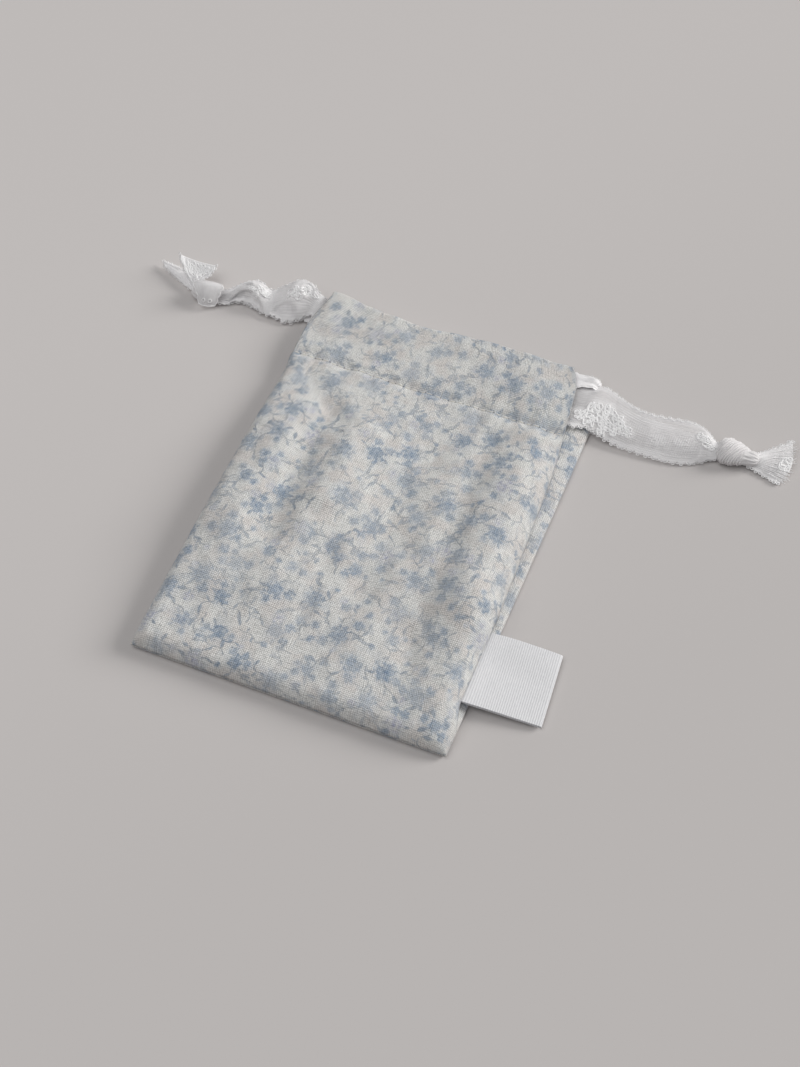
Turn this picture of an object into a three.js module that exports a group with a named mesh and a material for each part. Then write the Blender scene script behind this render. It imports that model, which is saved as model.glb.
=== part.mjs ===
// A lavender sachet lying on its back: a small printed cotton pouch with a hemmed casing on each panel,
// a lace tie drawn through both casings from each side, a folded tape label in the right seam,
// and a sealed inner bag of dried lavender. Millimetres, +Z up, +Y towards the mouth, +X towards the label.
// The origin is at the middle of the underside, on the surface the sachet lies on.
import * as THREE from "three";

// Pouch panels
const pouchWidth = 80;
const pouchLength = 118;
const crownHeight = 8.6; // top of the filled front above the table
const cloth = 0.4; // thickness of the cotton
const clearance = 0.3; // gap between pieces that touch on the real object
const shoulder = 32; // stretch below the casing where the front comes down from its crown
const bottomRound = 20; // stretch above the bottom seam where the front rises to its crown
const crownPower = 3; // how square the crown is across the pouch
const valleyDepth = 0.9; // soft fold that runs down the front, right of the middle
const valleyAcross = 15; // its distance right of the middle
const valleyWidth = 9;
const stitchDip = 0.4; // how far the casing stitches draw the front down

// Seams
const seamThread = 0.5; // diameter
const seamHeight = 1.65; // thread of the left and bottom seams above the table
const rollRadius = 1.5; // the back panel rolls up and over along the right seam
const rollAngle = THREE.MathUtils.degToRad(210);
const cornerRun = 12; // stretch over which the roll dies out at the bottom corner
const slitEase = 6; // stretch over which each side seam opens into the slit of the casing
const slitInset = 3.4; // front casing's right end, in from the pouch's edge
const leftInset = 1.5; // front casing's left end, in from the pouch's edge
const seamStitch = 5; // length of one stitch of the seams

// Casing stitches
const stitchThread = 0.35; // diameter
const stitchLength = 3.2;
const stitchLift = 0.12; // rise of each stitch at its middle
const hemLap = 1.5; // hem below the stitch row
const hemTaper = 4; // stretch where the hem closes on the panel, above the stitch row
const hemInset = 0.6; // hem's ends, in from the front casing's right end

// Lace ties
const laceWidth = 13;
const laceThickness = 0.35;
const bunchWidth = 3.2; // lace drawn together where it turns round a casing's end, and at its knot
const bunchRun = 6.5; // stretch over which it is drawn together
const bightReach = 7; // the turn's part inside the casing
const slitReach = 0.5; // run of lace past the front casing's end
const knotCord = 1.6; // diameter of the laces bunched into one, as they are knotted
const knotSteps = 26; // steps round the knot's turns
const leftKnotOut = 32; // knots' middles, out from the pouch's edges
const rightKnotOut = 37;

// Side label
const labelWidth = 20;
const labelReach = 20.5;
const labelFromBottom = 25; // label's middle above the bottom edge
const tape = 0.3; // thickness of the label's tape
const labelRootDepth = 4;
const labelTipHeight = 0.35; // underside of the label's folded end above the table

// Inner bag and filling
const bagSideRoom = 0.7; // room between the bag and the label's root
const bagBottomRoom = 4; // and the pouch's bottom seam
const bagTopRoom = 6; // and the casing stitches
const bagCloth = 0.3;
const sealWidth = 4; // flat welded rim
const sealHeight = 3; // rim's height above the table
const fillInset = 3; // lavender's edge, in from the welded rim
const fillRim = 0.5; // lavender's thickness at its edge

const { lerp, smoothstep, clamp } = THREE.MathUtils;
const point = (x, y, z) => new THREE.Vector3(x, y, z);
const steps = (count, make) => Array.from({ length: count + 1 }, (_, i) => make(i / count));

// Heights of the layers in the casing, from the table up
const tunnel = 2 * laceThickness + 3 * clearance; // two laces, clear of each other and of the cloth
const laceStep = laceThickness + clearance;
const backPanelZ = cloth / 2;
const backLowLaceZ = cloth + clearance + laceThickness / 2;
const backHemZ = backPanelZ + cloth + tunnel;
const frontHemZ = backHemZ + cloth + clearance;
const frontPanelZ = frontHemZ + cloth + tunnel;
const frontLowLaceZ = frontHemZ + cloth / 2 + clearance + laceThickness / 2;
const foldRadius = (cloth + tunnel) / 2;

// Places along and across the pouch
const halfWidth = pouchWidth / 2;
const mouthY = pouchLength / 2;
const bottomY = -mouthY;
const foldY = mouthY - cloth / 2 - foldRadius;
const leftTieY = foldY - clearance - laceWidth / 2;
const rightTieY = leftTieY - bunchWidth - clearance;
const stitchY = rightTieY - laceWidth / 2 - clearance - hemTaper;
const slitY = stitchY - slitEase;
const hemEndY = stitchY - hemLap;
const seamX = halfWidth - cloth / 2 - 2 * rollRadius; // thread of the right seam
const seamZ = cloth + 2 * rollRadius + 2 * clearance + seamThread / 2;
const rimRadius = seamHeight - seamThread / 2 - clearance - cloth / 2;
const frontRimZ = seamHeight + seamThread / 2 + clearance;
const hemReach = halfWidth - slitInset - hemInset;
const turnX = halfWidth - slitInset; // where a tie turns round the casings' ends
const knotTwist = (knotCord + clearance) / 2 + 0.05; // how far its turns pass over and under each other
const knotRing = 2.2 * knotTwist; // middle radius of its turns
const knotHeight = knotTwist + knotCord / 2 + clearance;
const knotLead = knotRing + 2 * knotTwist; // where its two leads end, from its middle
const knotLeadY = knotRing + 0.2 * knotTwist;
const knotLeadZ = 0.3 * knotTwist;
const labelY = bottomY + labelFromBottom;

const inCasing = (y) => smoothstep(y, slitY, stitchY);
const cornerY = bottomY + cloth + rimRadius;
const aboveCorner = (y) => smoothstep(y, cornerY, cornerY + cornerRun);

// Materials
const material = (color, roughness) => new THREE.MeshStandardMaterial({ color, roughness, metalness: 0 });
const printedCotton = material(0xd6dbdf, 0.9);
const sewingThread = material(0xe9e6df, 0.7);
const whiteLace = material(0xf2f2f0, 0.75);
const ribbedTape = material(0xf4f4f2, 0.6);
const nonwoven = material(0xeceae4, 0.95);
const lavenderBuds = material(0x7c72a0, 1);

const sachet = new THREE.Group();

function addPiece(name, geometry, finish) {
  const mesh = new THREE.Mesh(geometry, finish);
  mesh.name = name;
  sachet.add(mesh);
}

// Closes two skins of the same rows and columns into one solid; the upper one faces out.
function closeSkins(upper, lower) {
  const rows = upper.length;
  const columns = upper[0].length;
  const lowerStart = rows * columns;
  const at = (row, column) => row * columns + column;
  const faces = [];
  for (let row = 0; row + 1 < rows; row++) {
    for (let column = 0; column + 1 < columns; column++) {
      const [a, b] = [at(row, column), at(row, column + 1)];
      const [c, d] = [at(row + 1, column + 1), at(row + 1, column)];
      faces.push(a, b, c, a, c, d);
      faces.push(...[a, c, b, a, d, c].map((corner) => corner + lowerStart));
    }
  }
  const border = [
    ...steps(columns - 1, (t) => at(0, Math.round(t * (columns - 1)))),
    ...steps(rows - 1, (t) => at(Math.round(t * (rows - 1)), columns - 1)).slice(1),
    ...steps(columns - 1, (t) => at(rows - 1, Math.round((1 - t) * (columns - 1)))).slice(1),
    ...steps(rows - 1, (t) => at(Math.round((1 - t) * (rows - 1)), 0)).slice(1, -1),
  ];
  border.forEach((a, i) => {
    const b = border[(i + 1) % border.length];
    faces.push(a, a + lowerStart, b + lowerStart, a, b + lowerStart, b);
  });
  const corners = [...upper.flat(), ...lower.flat()];
  return new THREE.BufferGeometry().setFromPoints(corners).setIndex(faces);
}

// Cloth of one thickness about a grid of points on its middle surface.
function clothOver(grid, thickness) {
  const rows = grid.length - 1;
  const columns = grid[0].length - 1;
  const at = (row, column) => grid[clamp(row, 0, rows)][clamp(column, 0, columns)];
  const skin = (distance) =>
    grid.map((line, row) =>
      line.map((middle, column) => {
        const across = at(row, column + 1).clone().sub(at(row, column - 1));
        const along = at(row + 1, column).clone().sub(at(row - 1, column));
        return middle.clone().addScaledVector(across.cross(along).normalize(), distance);
      }),
    );
  return closeSkins(skin(thickness / 2), skin(-thickness / 2));
}

// A thread along a list of points.
function threadAlong(points, diameter, sides, segments) {
  const outline = steps(sides - 1, (t) => {
    const turn = (t * (sides - 1) * 2 * Math.PI) / sides;
    return new THREE.Vector2((Math.cos(turn) * diameter) / 2, (Math.sin(turn) * diameter) / 2);
  });
  const extrudePath = new THREE.CatmullRomCurve3(points);
  const options = { steps: segments, extrudePath, bevelEnabled: false };
  return new THREE.ExtrudeGeometry(new THREE.Shape(outline), options);
}

// A strip that bends away from a flat start: where it is at a share of its length, along and up.
function bend(share, length, angle) {
  if (angle < 0.01) return [length * share, 0];
  const radius = length / angle;
  return [radius * Math.sin(angle * share), radius * (1 - Math.cos(angle * share))];
}

// Front panel's middle surface, from its left seam (across = -1) to its right one (across = 1)
const leftRim = (y) => -halfWidth + lerp(cloth / 2, leftInset, inCasing(y));
const rightRim = (y) => {
  const besideThread = seamX - seamThread / 2 - clearance - cloth / 2;
  return lerp(lerp(halfWidth - cloth / 2, besideThread, aboveCorner(y)), turnX, inCasing(y));
};

function frontHeight(across, x, y) {
  const crown = lerp(crownHeight - cloth / 2, frontPanelZ, smoothstep(y, stitchY - shoulder, stitchY));
  const fromStitches = (y - stitchY) / hemTaper;
  const valley = valleyDepth * Math.exp(-(((x - valleyAcross) / valleyWidth) ** 2)) * (1 - inCasing(y));
  const top = crown - valley - stitchDip * Math.exp(-(fromStitches ** 2));
  const rim = lerp(frontRimZ, seamZ, smoothstep(across, 0, 1) * aboveCorner(y));
  const overBottom = clamp((y - bottomY - cloth / 2) / bottomRound, 0, 1);
  const roundBottom = Math.sqrt(1 - (1 - overBottom) ** 2);
  const roundSides = Math.sqrt(1 - Math.abs(across) ** crownPower);
  return rim + (top - rim) * roundBottom * lerp(roundSides, 1, inCasing(y));
}

function frontPoint(across, y) {
  const x = lerp(leftRim(y), rightRim(y), (across + 1) / 2);
  return point(x, y, frontHeight(across, x, y));
}

// The hem's height: it closes on its panel at the stitches
const hemHeight = (y, hemZ, closedZ) => lerp(closedZ, hemZ, smoothstep(y, stitchY, stitchY + hemTaper));
const hemRows = [
  ...steps(3, (t) => lerp(foldY, stitchY + hemTaper, t)).slice(1),
  ...steps(3, (t) => lerp(stitchY + hemTaper, stitchY, t)).slice(1),
  hemEndY,
];

function frontPanelGrid() {
  const columns = steps(18, (t) => Math.sin((t - 0.5) * Math.PI));
  const rimY = bottomY + cloth / 2;
  const rounding = steps(6, (t) => rimY + bottomRound * (1 - Math.cos((t * Math.PI) / 2)));
  const body = steps(8, (t) => lerp(rimY + bottomRound, slitY, t)).slice(1);
  const slit = steps(4, (t) => lerp(slitY, stitchY, t)).slice(1);
  const casing = steps(5, (t) => lerp(stitchY, foldY, t)).slice(1);
  const panelRows = [...rounding, ...body, ...slit, ...casing];
  const rows = panelRows.map((y) => columns.map((across) => frontPoint(across, y)));
  const hemPoint = (across, y, z, closing) => {
    const panel = frontPoint(across, foldY);
    return point(lerp(panel.x, across * hemReach, closing), y, z);
  };
  const fold = steps(6, (t) => t * Math.PI).slice(1);
  const foldZ = frontPanelZ - foldRadius;
  fold.forEach((turn) => {
    const [y, z] = [foldY + foldRadius * Math.sin(turn), foldZ + foldRadius * Math.cos(turn)];
    rows.push(columns.map((across) => hemPoint(across, y, z, turn / Math.PI)));
  });
  const closedZ = frontPanelZ - stitchDip - cloth - clearance;
  hemRows.forEach((y) => {
    rows.push(columns.map((across) => hemPoint(across, y, hemHeight(y, frontHemZ, closedZ), 1)));
  });
  return rows;
}

// Back panel: flat on the table, turned up along its left and bottom edges, rolled over along the right one
function backPanelGrid() {
  const edge = steps(4, (t) => t);
  const roll = steps(8, (t) => t);
  const flat = steps(10, (t) => t).slice(1, -1);
  const columns = [
    ...edge.map((t) => ({ left: 1 - t, across: 0, right: 0 })),
    ...flat.map((t) => ({ left: 0, across: t, right: 0 })),
    ...roll.map((t) => ({ left: 0, across: 1, right: t })),
  ];
  const rimLength = (rimRadius * Math.PI) / 2;
  const rollLength = rollRadius * rollAngle;
  const backPoint = (column, y, rise) => {
    const casing = inCasing(y);
    const corner = aboveCorner(y);
    const length = lerp(rimLength, rollLength, corner);
    const angle = lerp(Math.PI / 2, rollAngle, corner) * (1 - casing);
    const flatLeft = lerp(-halfWidth + cloth / 2 + rimRadius, -halfWidth + rimLength, casing);
    const rolled = halfWidth - cloth / 2 - lerp(rimRadius, rollRadius, corner);
    const flatRight = lerp(rolled, halfWidth - length, casing);
    const [leftRun, leftRise] = bend(column.left, rimLength, (Math.PI / 2) * (1 - casing));
    const [rightRun, rightRise] = bend(column.right, length, angle);
    const x = lerp(flatLeft, flatRight, column.across) - leftRun + rightRun;
    const up = (leftRise ** 4 + rightRise ** 4 + rise ** 4) ** (1 / 4);
    return point(x, y, backPanelZ + up);
  };
  const rows = [];
  const flatBottom = bottomY + cloth / 2 + rimRadius;
  steps(4, (t) => bend(1 - t, rimLength, Math.PI / 2)).forEach(([run, rise]) => {
    rows.push(columns.map((column) => backPoint(column, flatBottom - run, rise)));
  });
  const corner = steps(3, (t) => lerp(flatBottom, flatBottom + cornerRun, t)).slice(1);
  const body = steps(6, (t) => lerp(flatBottom + cornerRun, slitY, t)).slice(1);
  const slit = steps(5, (t) => lerp(slitY, stitchY, t)).slice(1);
  const casing = steps(4, (t) => lerp(stitchY, foldY, t)).slice(1);
  [...corner, ...body, ...slit, ...casing].forEach((y) => {
    rows.push(columns.map((column) => backPoint(column, y, 0)));
  });
  const hemPoint = (column, y, z, closing) => {
    const panel = backPoint(column, foldY, 0);
    return point(lerp(panel.x, (panel.x / halfWidth) * hemReach, closing), y, z);
  };
  steps(6, (t) => t * Math.PI).slice(1).forEach((turn) => {
    const [y, z] = [foldY + foldRadius * Math.sin(turn), backPanelZ + foldRadius * (1 - Math.cos(turn))];
    rows.push(columns.map((column) => hemPoint(column, y, z, turn / Math.PI)));
  });
  const closedZ = backPanelZ + cloth + clearance;
  hemRows.forEach((y) => {
    rows.push(columns.map((column) => hemPoint(column, y, hemHeight(y, backHemZ, closedZ), 1)));
  });
  return rows;
}

addPiece("front_panel", clothOver(frontPanelGrid(), cloth), printedCotton);
addPiece("back_panel", clothOver(backPanelGrid(), cloth), printedCotton);

// Seam threads lie in the crease between the two panels' rims
function seamThreadBetween(start, end) {
  const stitches = Math.max(2, Math.round(start.distanceTo(end) / seamStitch));
  return threadAlong(steps(stitches, (t) => start.clone().lerp(end, t)), seamThread, 6, stitches);
}

const rimX = halfWidth - cloth / 2;
const rimStart = bottomY + cloth / 2;
const threadEnd = seamThread + clearance;
const rollStart = cornerY + cornerRun;
addPiece(
  "left_seam_thread",
  seamThreadBetween(point(-rimX, rimStart + threadEnd, seamHeight), point(-rimX, slitY, seamHeight)),
  sewingThread,
);
addPiece(
  "bottom_seam_thread",
  seamThreadBetween(point(-rimX, rimStart, seamHeight), point(rimX - threadEnd, rimStart, seamHeight)),
  sewingThread,
);
addPiece(
  "right_seam_thread",
  seamThreadBetween(point(seamX, rollStart, seamZ), point(seamX, slitY, seamZ)),
  sewingThread,
);

// Casing stitches: one running thread on each panel, outside on the front and inside on the back
function casingStitches(left, right, clothZ) {
  const stitches = Math.round((right - left) / stitchLength);
  const row = steps(2 * stitches, (t) => {
    const x = lerp(left, right, t);
    const lift = stitchLift * Math.abs(Math.sin(t * stitches * Math.PI));
    return point(x, stitchY, clothZ + clearance + stitchThread / 2 + lift);
  });
  return threadAlong(row, stitchThread, 5, 2 * stitches);
}

const stitchEnd = stitchLength / 2;
const frontStitchLeft = leftRim(stitchY) + stitchEnd;
const frontStitchRight = rightRim(stitchY) - stitchEnd;
const frontTopZ = frontPanelZ - stitchDip + cloth / 2;
const backHemTopZ = backPanelZ + cloth + clearance + cloth / 2;
const frontStitches = casingStitches(frontStitchLeft, frontStitchRight, frontTopZ);
const backStitches = casingStitches(stitchEnd - hemReach, hemReach - stitchEnd, backHemTopZ);
addPiece("front_casing_stitches", frontStitches, sewingThread);
addPiece("back_casing_stitches", backStitches, sewingThread);

// A ribbon from stations chosen by hand: its middle, and its full width as a vector
function ribbon(stations, segments) {
  const middle = new THREE.CatmullRomCurve3(stations.map((station) => point(...station.at)));
  const width = new THREE.CatmullRomCurve3(stations.map((station) => point(...station.width)));
  const rows = steps(segments, (t) => {
    const [centre, across] = [middle.getPoint(t), width.getPoint(t)];
    return steps(3, (s) => centre.clone().addScaledVector(across, s - 0.5));
  });
  return clothOver(rows, laceThickness);
}

// A tie's turn round the casings' far end, drawn together so that the other tie's strands pass beside it
function bightGrid(side, tieY, frontZ, bunchY) {
  const backZ = frontZ - (frontLowLaceZ - backLowLaceZ);
  const turnRadius = (frontZ - backZ) / 2;
  const crossing = (x, z) => {
    const bunched = smoothstep(x, turnX - bunchRun, turnX);
    const [y, width] = [lerp(tieY, bunchY, bunched), lerp(laceWidth, bunchWidth, bunched)];
    return steps(3, (s) => point(-side * x, y + width * (s - 0.5), z));
  };
  const inward = steps(5, (t) => turnX - bightReach * (1 - t));
  const turn = steps(8, (t) => t * Math.PI).slice(1, -1);
  return [
    ...inward.map((x) => crossing(x, frontZ)),
    ...turn.map((a) => crossing(turnX + turnRadius * Math.sin(a), backZ + turnRadius * (1 + Math.cos(a)))),
    ...inward.reverse().map((x) => crossing(x, backZ)),
  ];
}

// An overhand knot: a three-lobed turn opened at one side, whose two leads pass over and under each other.
// At side 1 the first lead comes from -X, where the strands are, and the last one leaves towards +X.
function knotPoints(side, centre) {
  const opened = 0.05; // share of the turn left open at each end
  const turns = steps(knotSteps, (t) => {
    const turn = 2 * Math.PI * lerp(opened, 1 - opened, t);
    const reach = knotRing + knotTwist * Math.cos(3 * turn);
    return point(reach * Math.sin(2 * turn), -reach * Math.cos(2 * turn), knotTwist * Math.sin(3 * turn));
  });
  const outerY = -knotRing - 1.1 * knotTwist;
  const lead = (way) => [
    point(way * 0.1 * knotTwist, outerY, -way * knotTwist),
    point(way * knotRing, outerY, -way * knotTwist),
    point(way * knotLead, -knotLeadY, -way * knotLeadZ),
  ];
  const line = [...lead(-1).reverse(), ...turns, ...lead(1)];
  return line.map((p) => point(side * p.x, p.y, p.z).add(centre));
}

// One tie: a run in each casing, its turn round the far end, and two free strands that meet in a knot
// with two tails. The free lace goes through stations chosen by hand: [out from the pouch's edge,
// along Y from the tie's middle, height, width along X, width along Y].
function addTie(name, tie) {
  const { side, tieY } = tie;
  const station = ([out, aside, height, widthX, widthY]) => ({
    at: [side * (halfWidth + out), tieY + aside, height],
    width: [side * widthX, widthY, 0],
  });
  const outerX = side * (tie.casingEnd + slitReach);
  const innerX = -side * (turnX - bightReach - clearance);
  const ends = [outerX, innerX].sort((a, b) => a - b);
  const edges = [tieY - laceWidth / 2, tieY + laceWidth / 2];
  const knotCentre = point(side * (halfWidth + tie.knotOut), tieY + tie.knotAside, knotHeight);
  const lead = (way, layer) => {
    const leadX = side * way * (knotLead + clearance);
    const leadZ = (layer * laceStep) / 2 - way * knotLeadZ;
    const end = knotCentre.clone().add(point(leadX, -knotLeadY, leadZ));
    return { at: end.toArray(), width: [0, bunchWidth, 0] };
  };
  const frontZ = frontLowLaceZ + tie.lift;
  const backZ = backLowLaceZ + tie.lift;
  const layers = [
    { layer: "front", z: frontZ, over: 1 },
    { layer: "back", z: backZ, over: -1 },
  ];
  layers.forEach(({ layer, z, over }) => {
    const run = edges.map((y) => ends.map((x) => point(x, y, z)));
    const exit = { at: [outerX + side * clearance, tieY, z], width: [0, laceWidth, 0] };
    const strand = [exit, ...tie.strands[layer].map(station), lead(-1, over)];
    const tail = [lead(1, over), ...tie.tails[layer].map(station)];
    addPiece(`${name}_${layer}_run`, clothOver(run, laceThickness), whiteLace);
    addPiece(`${name}_${layer}_strand`, ribbon(strand, 16), whiteLace);
    addPiece(`${name}_${layer}_tail`, ribbon(tail, 8), whiteLace);
  });
  addPiece(`${name}_turn`, clothOver(bightGrid(side, tieY, frontZ, tie.bunchY), laceThickness), whiteLace);
  addPiece(`${name}_knot`, threadAlong(knotPoints(side, knotCentre), knotCord, 6, 2 * knotSteps), whiteLace);
}

const bunchShift = (laceWidth - bunchWidth) / 2; // a turn is drawn to one edge of its lace
addTie("left_tie", {
  side: -1,
  tieY: leftTieY,
  lift: laceStep,
  bunchY: leftTieY + bunchShift,
  casingEnd: halfWidth - leftInset,
  knotOut: leftKnotOut,
  knotAside: -2,
  strands: {
    front: [
      [4, 0.6, 5.4, 0, 12.5],
      [8.5, 1.6, 6.4, 0, 11],
      [13, 0.8, 4.9, 0, 9],
      [17, -0.6, 3.8, 0, 8],
      [21, -1.4, 4.6, 0, 8],
      [25, -3, 3.6, 0, 5.5],
    ],
    back: [
      [5, -0.2, 1, 0, 12.5],
      [12, -0.6, 0.7, 0, 11],
      [18, -1.6, 0.8, 0, 9],
      [24, -3.2, 1.5, 0, 6],
    ],
  },
  tails: {
    front: [
      [39, -3.6, 3.4, -2.4, 3.8],
      [39.4, -0.6, 5.2, -7, 1.6],
      [37.6, 3.5, 6.8, -9.8, 0.4],
    ],
    back: [
      [39.6, -3.6, 1.1, -0.8, 4.6],
      [43, -0.7, 0.8, -2, 5],
      [45.8, 2, 0.8, -3, 4.6],
    ],
  },
});
addTie("right_tie", {
  side: 1,
  tieY: rightTieY,
  lift: 0,
  bunchY: rightTieY - bunchShift,
  casingEnd: halfWidth - slitInset,
  knotOut: rightKnotOut,
  knotAside: 2.4,
  strands: {
    front: [
      [3, -0.2, 3.2, 0, 13],
      [9, -0.4, 2.4, 0, 12.6],
      [15, -0.3, 1.9, 0, 12],
      [22, 0, 2.1, 0, 11],
      [27, 0, 2.6, 0, 8],
    ],
    back: [
      [4, -0.2, 0.8, 0, 13],
      [12, -0.4, 0.6, 0, 12.4],
      [20, 0, 0.7, 0, 11.5],
      [26, 0, 1.3, 0, 8],
    ],
  },
  tails: {
    front: [
      [44.5, 1.2, 2.3, 0.6, 7],
      [49.8, 3.8, 1.9, 1, 10.5],
    ],
    back: [
      [44.5, 1, 1.2, 0.6, 6.4],
      [49.4, 3.4, 0.7, 1, 9.6],
    ],
  },
});

// Side label: a tape folded in half, its ends held under the thread of the right seam
const foldGap = (tape + clearance) / 2; // half the distance between the two layers at the fold
const rootGap = tape / 2 + 0.05; // and where the thread holds them together
const tipZ = labelTipHeight + tape / 2 + foldGap;
const labelSlope = Math.asin((seamZ - tipZ) / labelReach);
const labelEnds = [labelY - labelWidth / 2, labelY + labelWidth / 2];

function labelFlapGrid() {
  const start = seamThread / 2 + clearance;
  const straight = labelReach - foldGap;
  const lower = steps(4, (t) => [lerp(start, straight, t), -lerp(rootGap, foldGap, t)]);
  const upper = lower.map(([out, up]) => [out, -up]).reverse();
  const fold = steps(6, (t) => (t - 0.5) * Math.PI).slice(1, -1);
  const round = fold.map((turn) => [straight + foldGap * Math.cos(turn), foldGap * Math.sin(turn)]);
  return [...lower, ...round, ...upper].map(([out, up]) => {
    const x = seamX + out * Math.cos(labelSlope) + up * Math.sin(labelSlope);
    const z = seamZ - out * Math.sin(labelSlope) + up * Math.cos(labelSlope);
    return labelEnds.map((y) => point(x, y, z));
  });
}

const rootThickness = 2 * tape;
const rootZ = seamZ - seamThread / 2 - clearance - rootThickness / 2;
const rootEnds = [seamX - labelRootDepth, seamX];
const labelRoot = labelEnds.map((y) => rootEnds.map((x) => point(x, y, rootZ)));
addPiece("side_label_flap", clothOver(labelFlapGrid(), tape), ribbedTape);
addPiece("side_label_root", clothOver(labelRoot, rootThickness), ribbedTape);

// Inner bag: two nonwoven sheets with a flat welded rim, swollen by the lavender between them
const bagX = (leftRim(0) + rightRim(0)) / 2;
const bagWidth = 2 * (seamX - labelRootDepth - bagSideRoom - bagX);
const bagLength = stitchY - bagTopRoom - bottomY - bagBottomRoom;
const bagY = bottomY + bagBottomRoom + bagLength / 2;
const pouchMiddle = (y) => (leftRim(y) + rightRim(y)) / 2;
const acrossAt = (x, y) => (2 * (x - pouchMiddle(y))) / (rightRim(y) - leftRim(y));
const swell = (share) => Math.sqrt(1 - Math.min(1, Math.abs(share)) ** 4);

function bagHeights(x, y) {
  const hollowX = swell((x - bagX) / (bagWidth / 2 - sealWidth));
  const hollowY = swell((y - bagY) / (bagLength / 2 - sealWidth));
  const hollow = hollowX * hollowY;
  const ceiling = frontHeight(acrossAt(x, y), x, y) - cloth / 2 - 2 * clearance - bagCloth / 2;
  const floor = cloth + clearance + bagCloth / 2;
  const weld = (bagCloth + clearance) / 2;
  return {
    upper: lerp(sealHeight + weld, ceiling, hollow),
    lower: lerp(sealHeight - weld, floor, hollow),
  };
}

// Rows and columns that crowd towards the rims, where the bag curves most
function bagGrid(width, length, height) {
  const crowded = steps(10, (t) => Math.sin((t - 0.5) * Math.PI));
  return crowded.map((down) =>
    crowded.map((across) => {
      const [x, y] = [bagX + (across * width) / 2, bagY + (down * length) / 2];
      return point(x, y, height(x, y, across, down));
    }),
  );
}

const fillWidth = bagWidth - 2 * (sealWidth + fillInset);
const fillLength = bagLength - 2 * (sealWidth + fillInset);
const fillHeight = (x, y, across, down, over) => {
  const { upper, lower } = bagHeights(x, y);
  const inner = over > 0 ? upper - bagCloth / 2 - clearance : lower + bagCloth / 2 + clearance;
  return lerp(sealHeight + (over * fillRim) / 2, inner, swell(across) * swell(down));
};
["upper", "lower"].forEach((half) => {
  const sheet = bagGrid(bagWidth, bagLength, (x, y) => bagHeights(x, y)[half]);
  addPiece(`inner_bag_${half}`, clothOver(sheet, bagCloth), nonwoven);
});
const fillSkin = (over) => bagGrid(fillWidth, fillLength, (x, y, a, d) => fillHeight(x, y, a, d, over));
addPiece("lavender_fill", closeSkins(fillSkin(1), fillSkin(-1)), lavenderBuds);

export default sachet;
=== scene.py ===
# Lavender sachet: a printed cotton pouch with lace ties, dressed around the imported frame.
import math
import random
import bpy
import numpy as np
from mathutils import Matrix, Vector, noise


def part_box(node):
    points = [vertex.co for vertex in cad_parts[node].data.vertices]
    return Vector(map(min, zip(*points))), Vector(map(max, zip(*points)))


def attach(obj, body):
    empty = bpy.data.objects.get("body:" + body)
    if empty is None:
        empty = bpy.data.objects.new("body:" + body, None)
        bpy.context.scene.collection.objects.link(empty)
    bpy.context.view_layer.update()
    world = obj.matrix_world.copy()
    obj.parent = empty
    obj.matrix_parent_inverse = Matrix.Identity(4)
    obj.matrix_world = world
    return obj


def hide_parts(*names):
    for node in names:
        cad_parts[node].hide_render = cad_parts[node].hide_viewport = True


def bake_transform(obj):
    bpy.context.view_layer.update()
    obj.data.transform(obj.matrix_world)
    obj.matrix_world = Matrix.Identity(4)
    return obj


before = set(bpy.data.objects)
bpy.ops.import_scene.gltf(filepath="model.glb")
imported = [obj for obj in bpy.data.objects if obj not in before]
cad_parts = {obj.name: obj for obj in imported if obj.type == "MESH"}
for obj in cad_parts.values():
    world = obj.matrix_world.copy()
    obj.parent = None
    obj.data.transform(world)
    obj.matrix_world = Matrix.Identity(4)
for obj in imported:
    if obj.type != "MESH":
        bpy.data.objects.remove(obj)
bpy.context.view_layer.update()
mm = 0.001
scene = bpy.context.scene
scene.view_settings.view_transform = "Standard"
print("frame loaded:", len(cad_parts), "nodes")


# Small tools

def linear(red, green, blue):  # sRGB from 0 to 255, as the scene's linear colour
    def one(value):
        share = value / 255
        return share / 12.92 if share <= 0.04045 else ((share + 0.055) / 1.055) ** 2.4
    return (one(red), one(green), one(blue), 1.0)


def nodeBox(name):  # a node's corners in millimetres
    low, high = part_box(name)
    return np.array(low) / mm, np.array(high) / mm


def nodeMiddle(name):
    low, high = nodeBox(name)
    return (low + high) / 2


def smooth(low, high, value):
    share = np.clip((value - low) / (high - low), 0, 1)
    return share * share * (3 - 2 * share)


def mix(a, b, share):
    return a + (b - a) * share


def bump(value, middle, width):
    return np.exp(-(((value - middle) / width) ** 2))


def through(points, count):  # smooth line through given points
    points = np.array(points, float)
    padded = np.vstack([2 * points[0] - points[1], points, 2 * points[-1] - points[-2]])
    place = np.linspace(0, len(points) - 1 - 1e-9, count)
    index = place.astype(int)
    t = (place - index)[:, None]
    a, b, c, d = (padded[index + k] for k in range(4))
    return 0.5 * (2 * b + (c - a) * t + (2 * a - 5 * b + 4 * c - d) * t**2 + (3 * b - a - 3 * c + d) * t**3)


def ripple(x, y, scaleX, scaleY, seed):  # smooth noise about 0, stretched along x or y
    flat = [
        noise.noise(Vector((a / scaleX, b / scaleY, seed * 7.31)))
        for a, b in zip(np.ravel(x), np.ravel(y))
    ]
    return np.array(flat).reshape(np.shape(x))


def ripples(x, y, layers):  # noise of several sizes: height, scale along x and y, seed
    return sum(height * ripple(x, y, scaleX, scaleY, seed) for height, scaleX, scaleY, seed in layers)


def runLength(points):  # distance along a line of points
    steps = np.linalg.norm(np.diff(points, axis=0), axis=1)
    return np.concatenate([[0], np.cumsum(steps)])


def addObject(name, mesh, material):
    piece = bpy.data.objects.new(name, mesh)
    scene.collection.objects.link(piece)
    if material:
        mesh.materials.append(material)
    return piece


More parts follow.
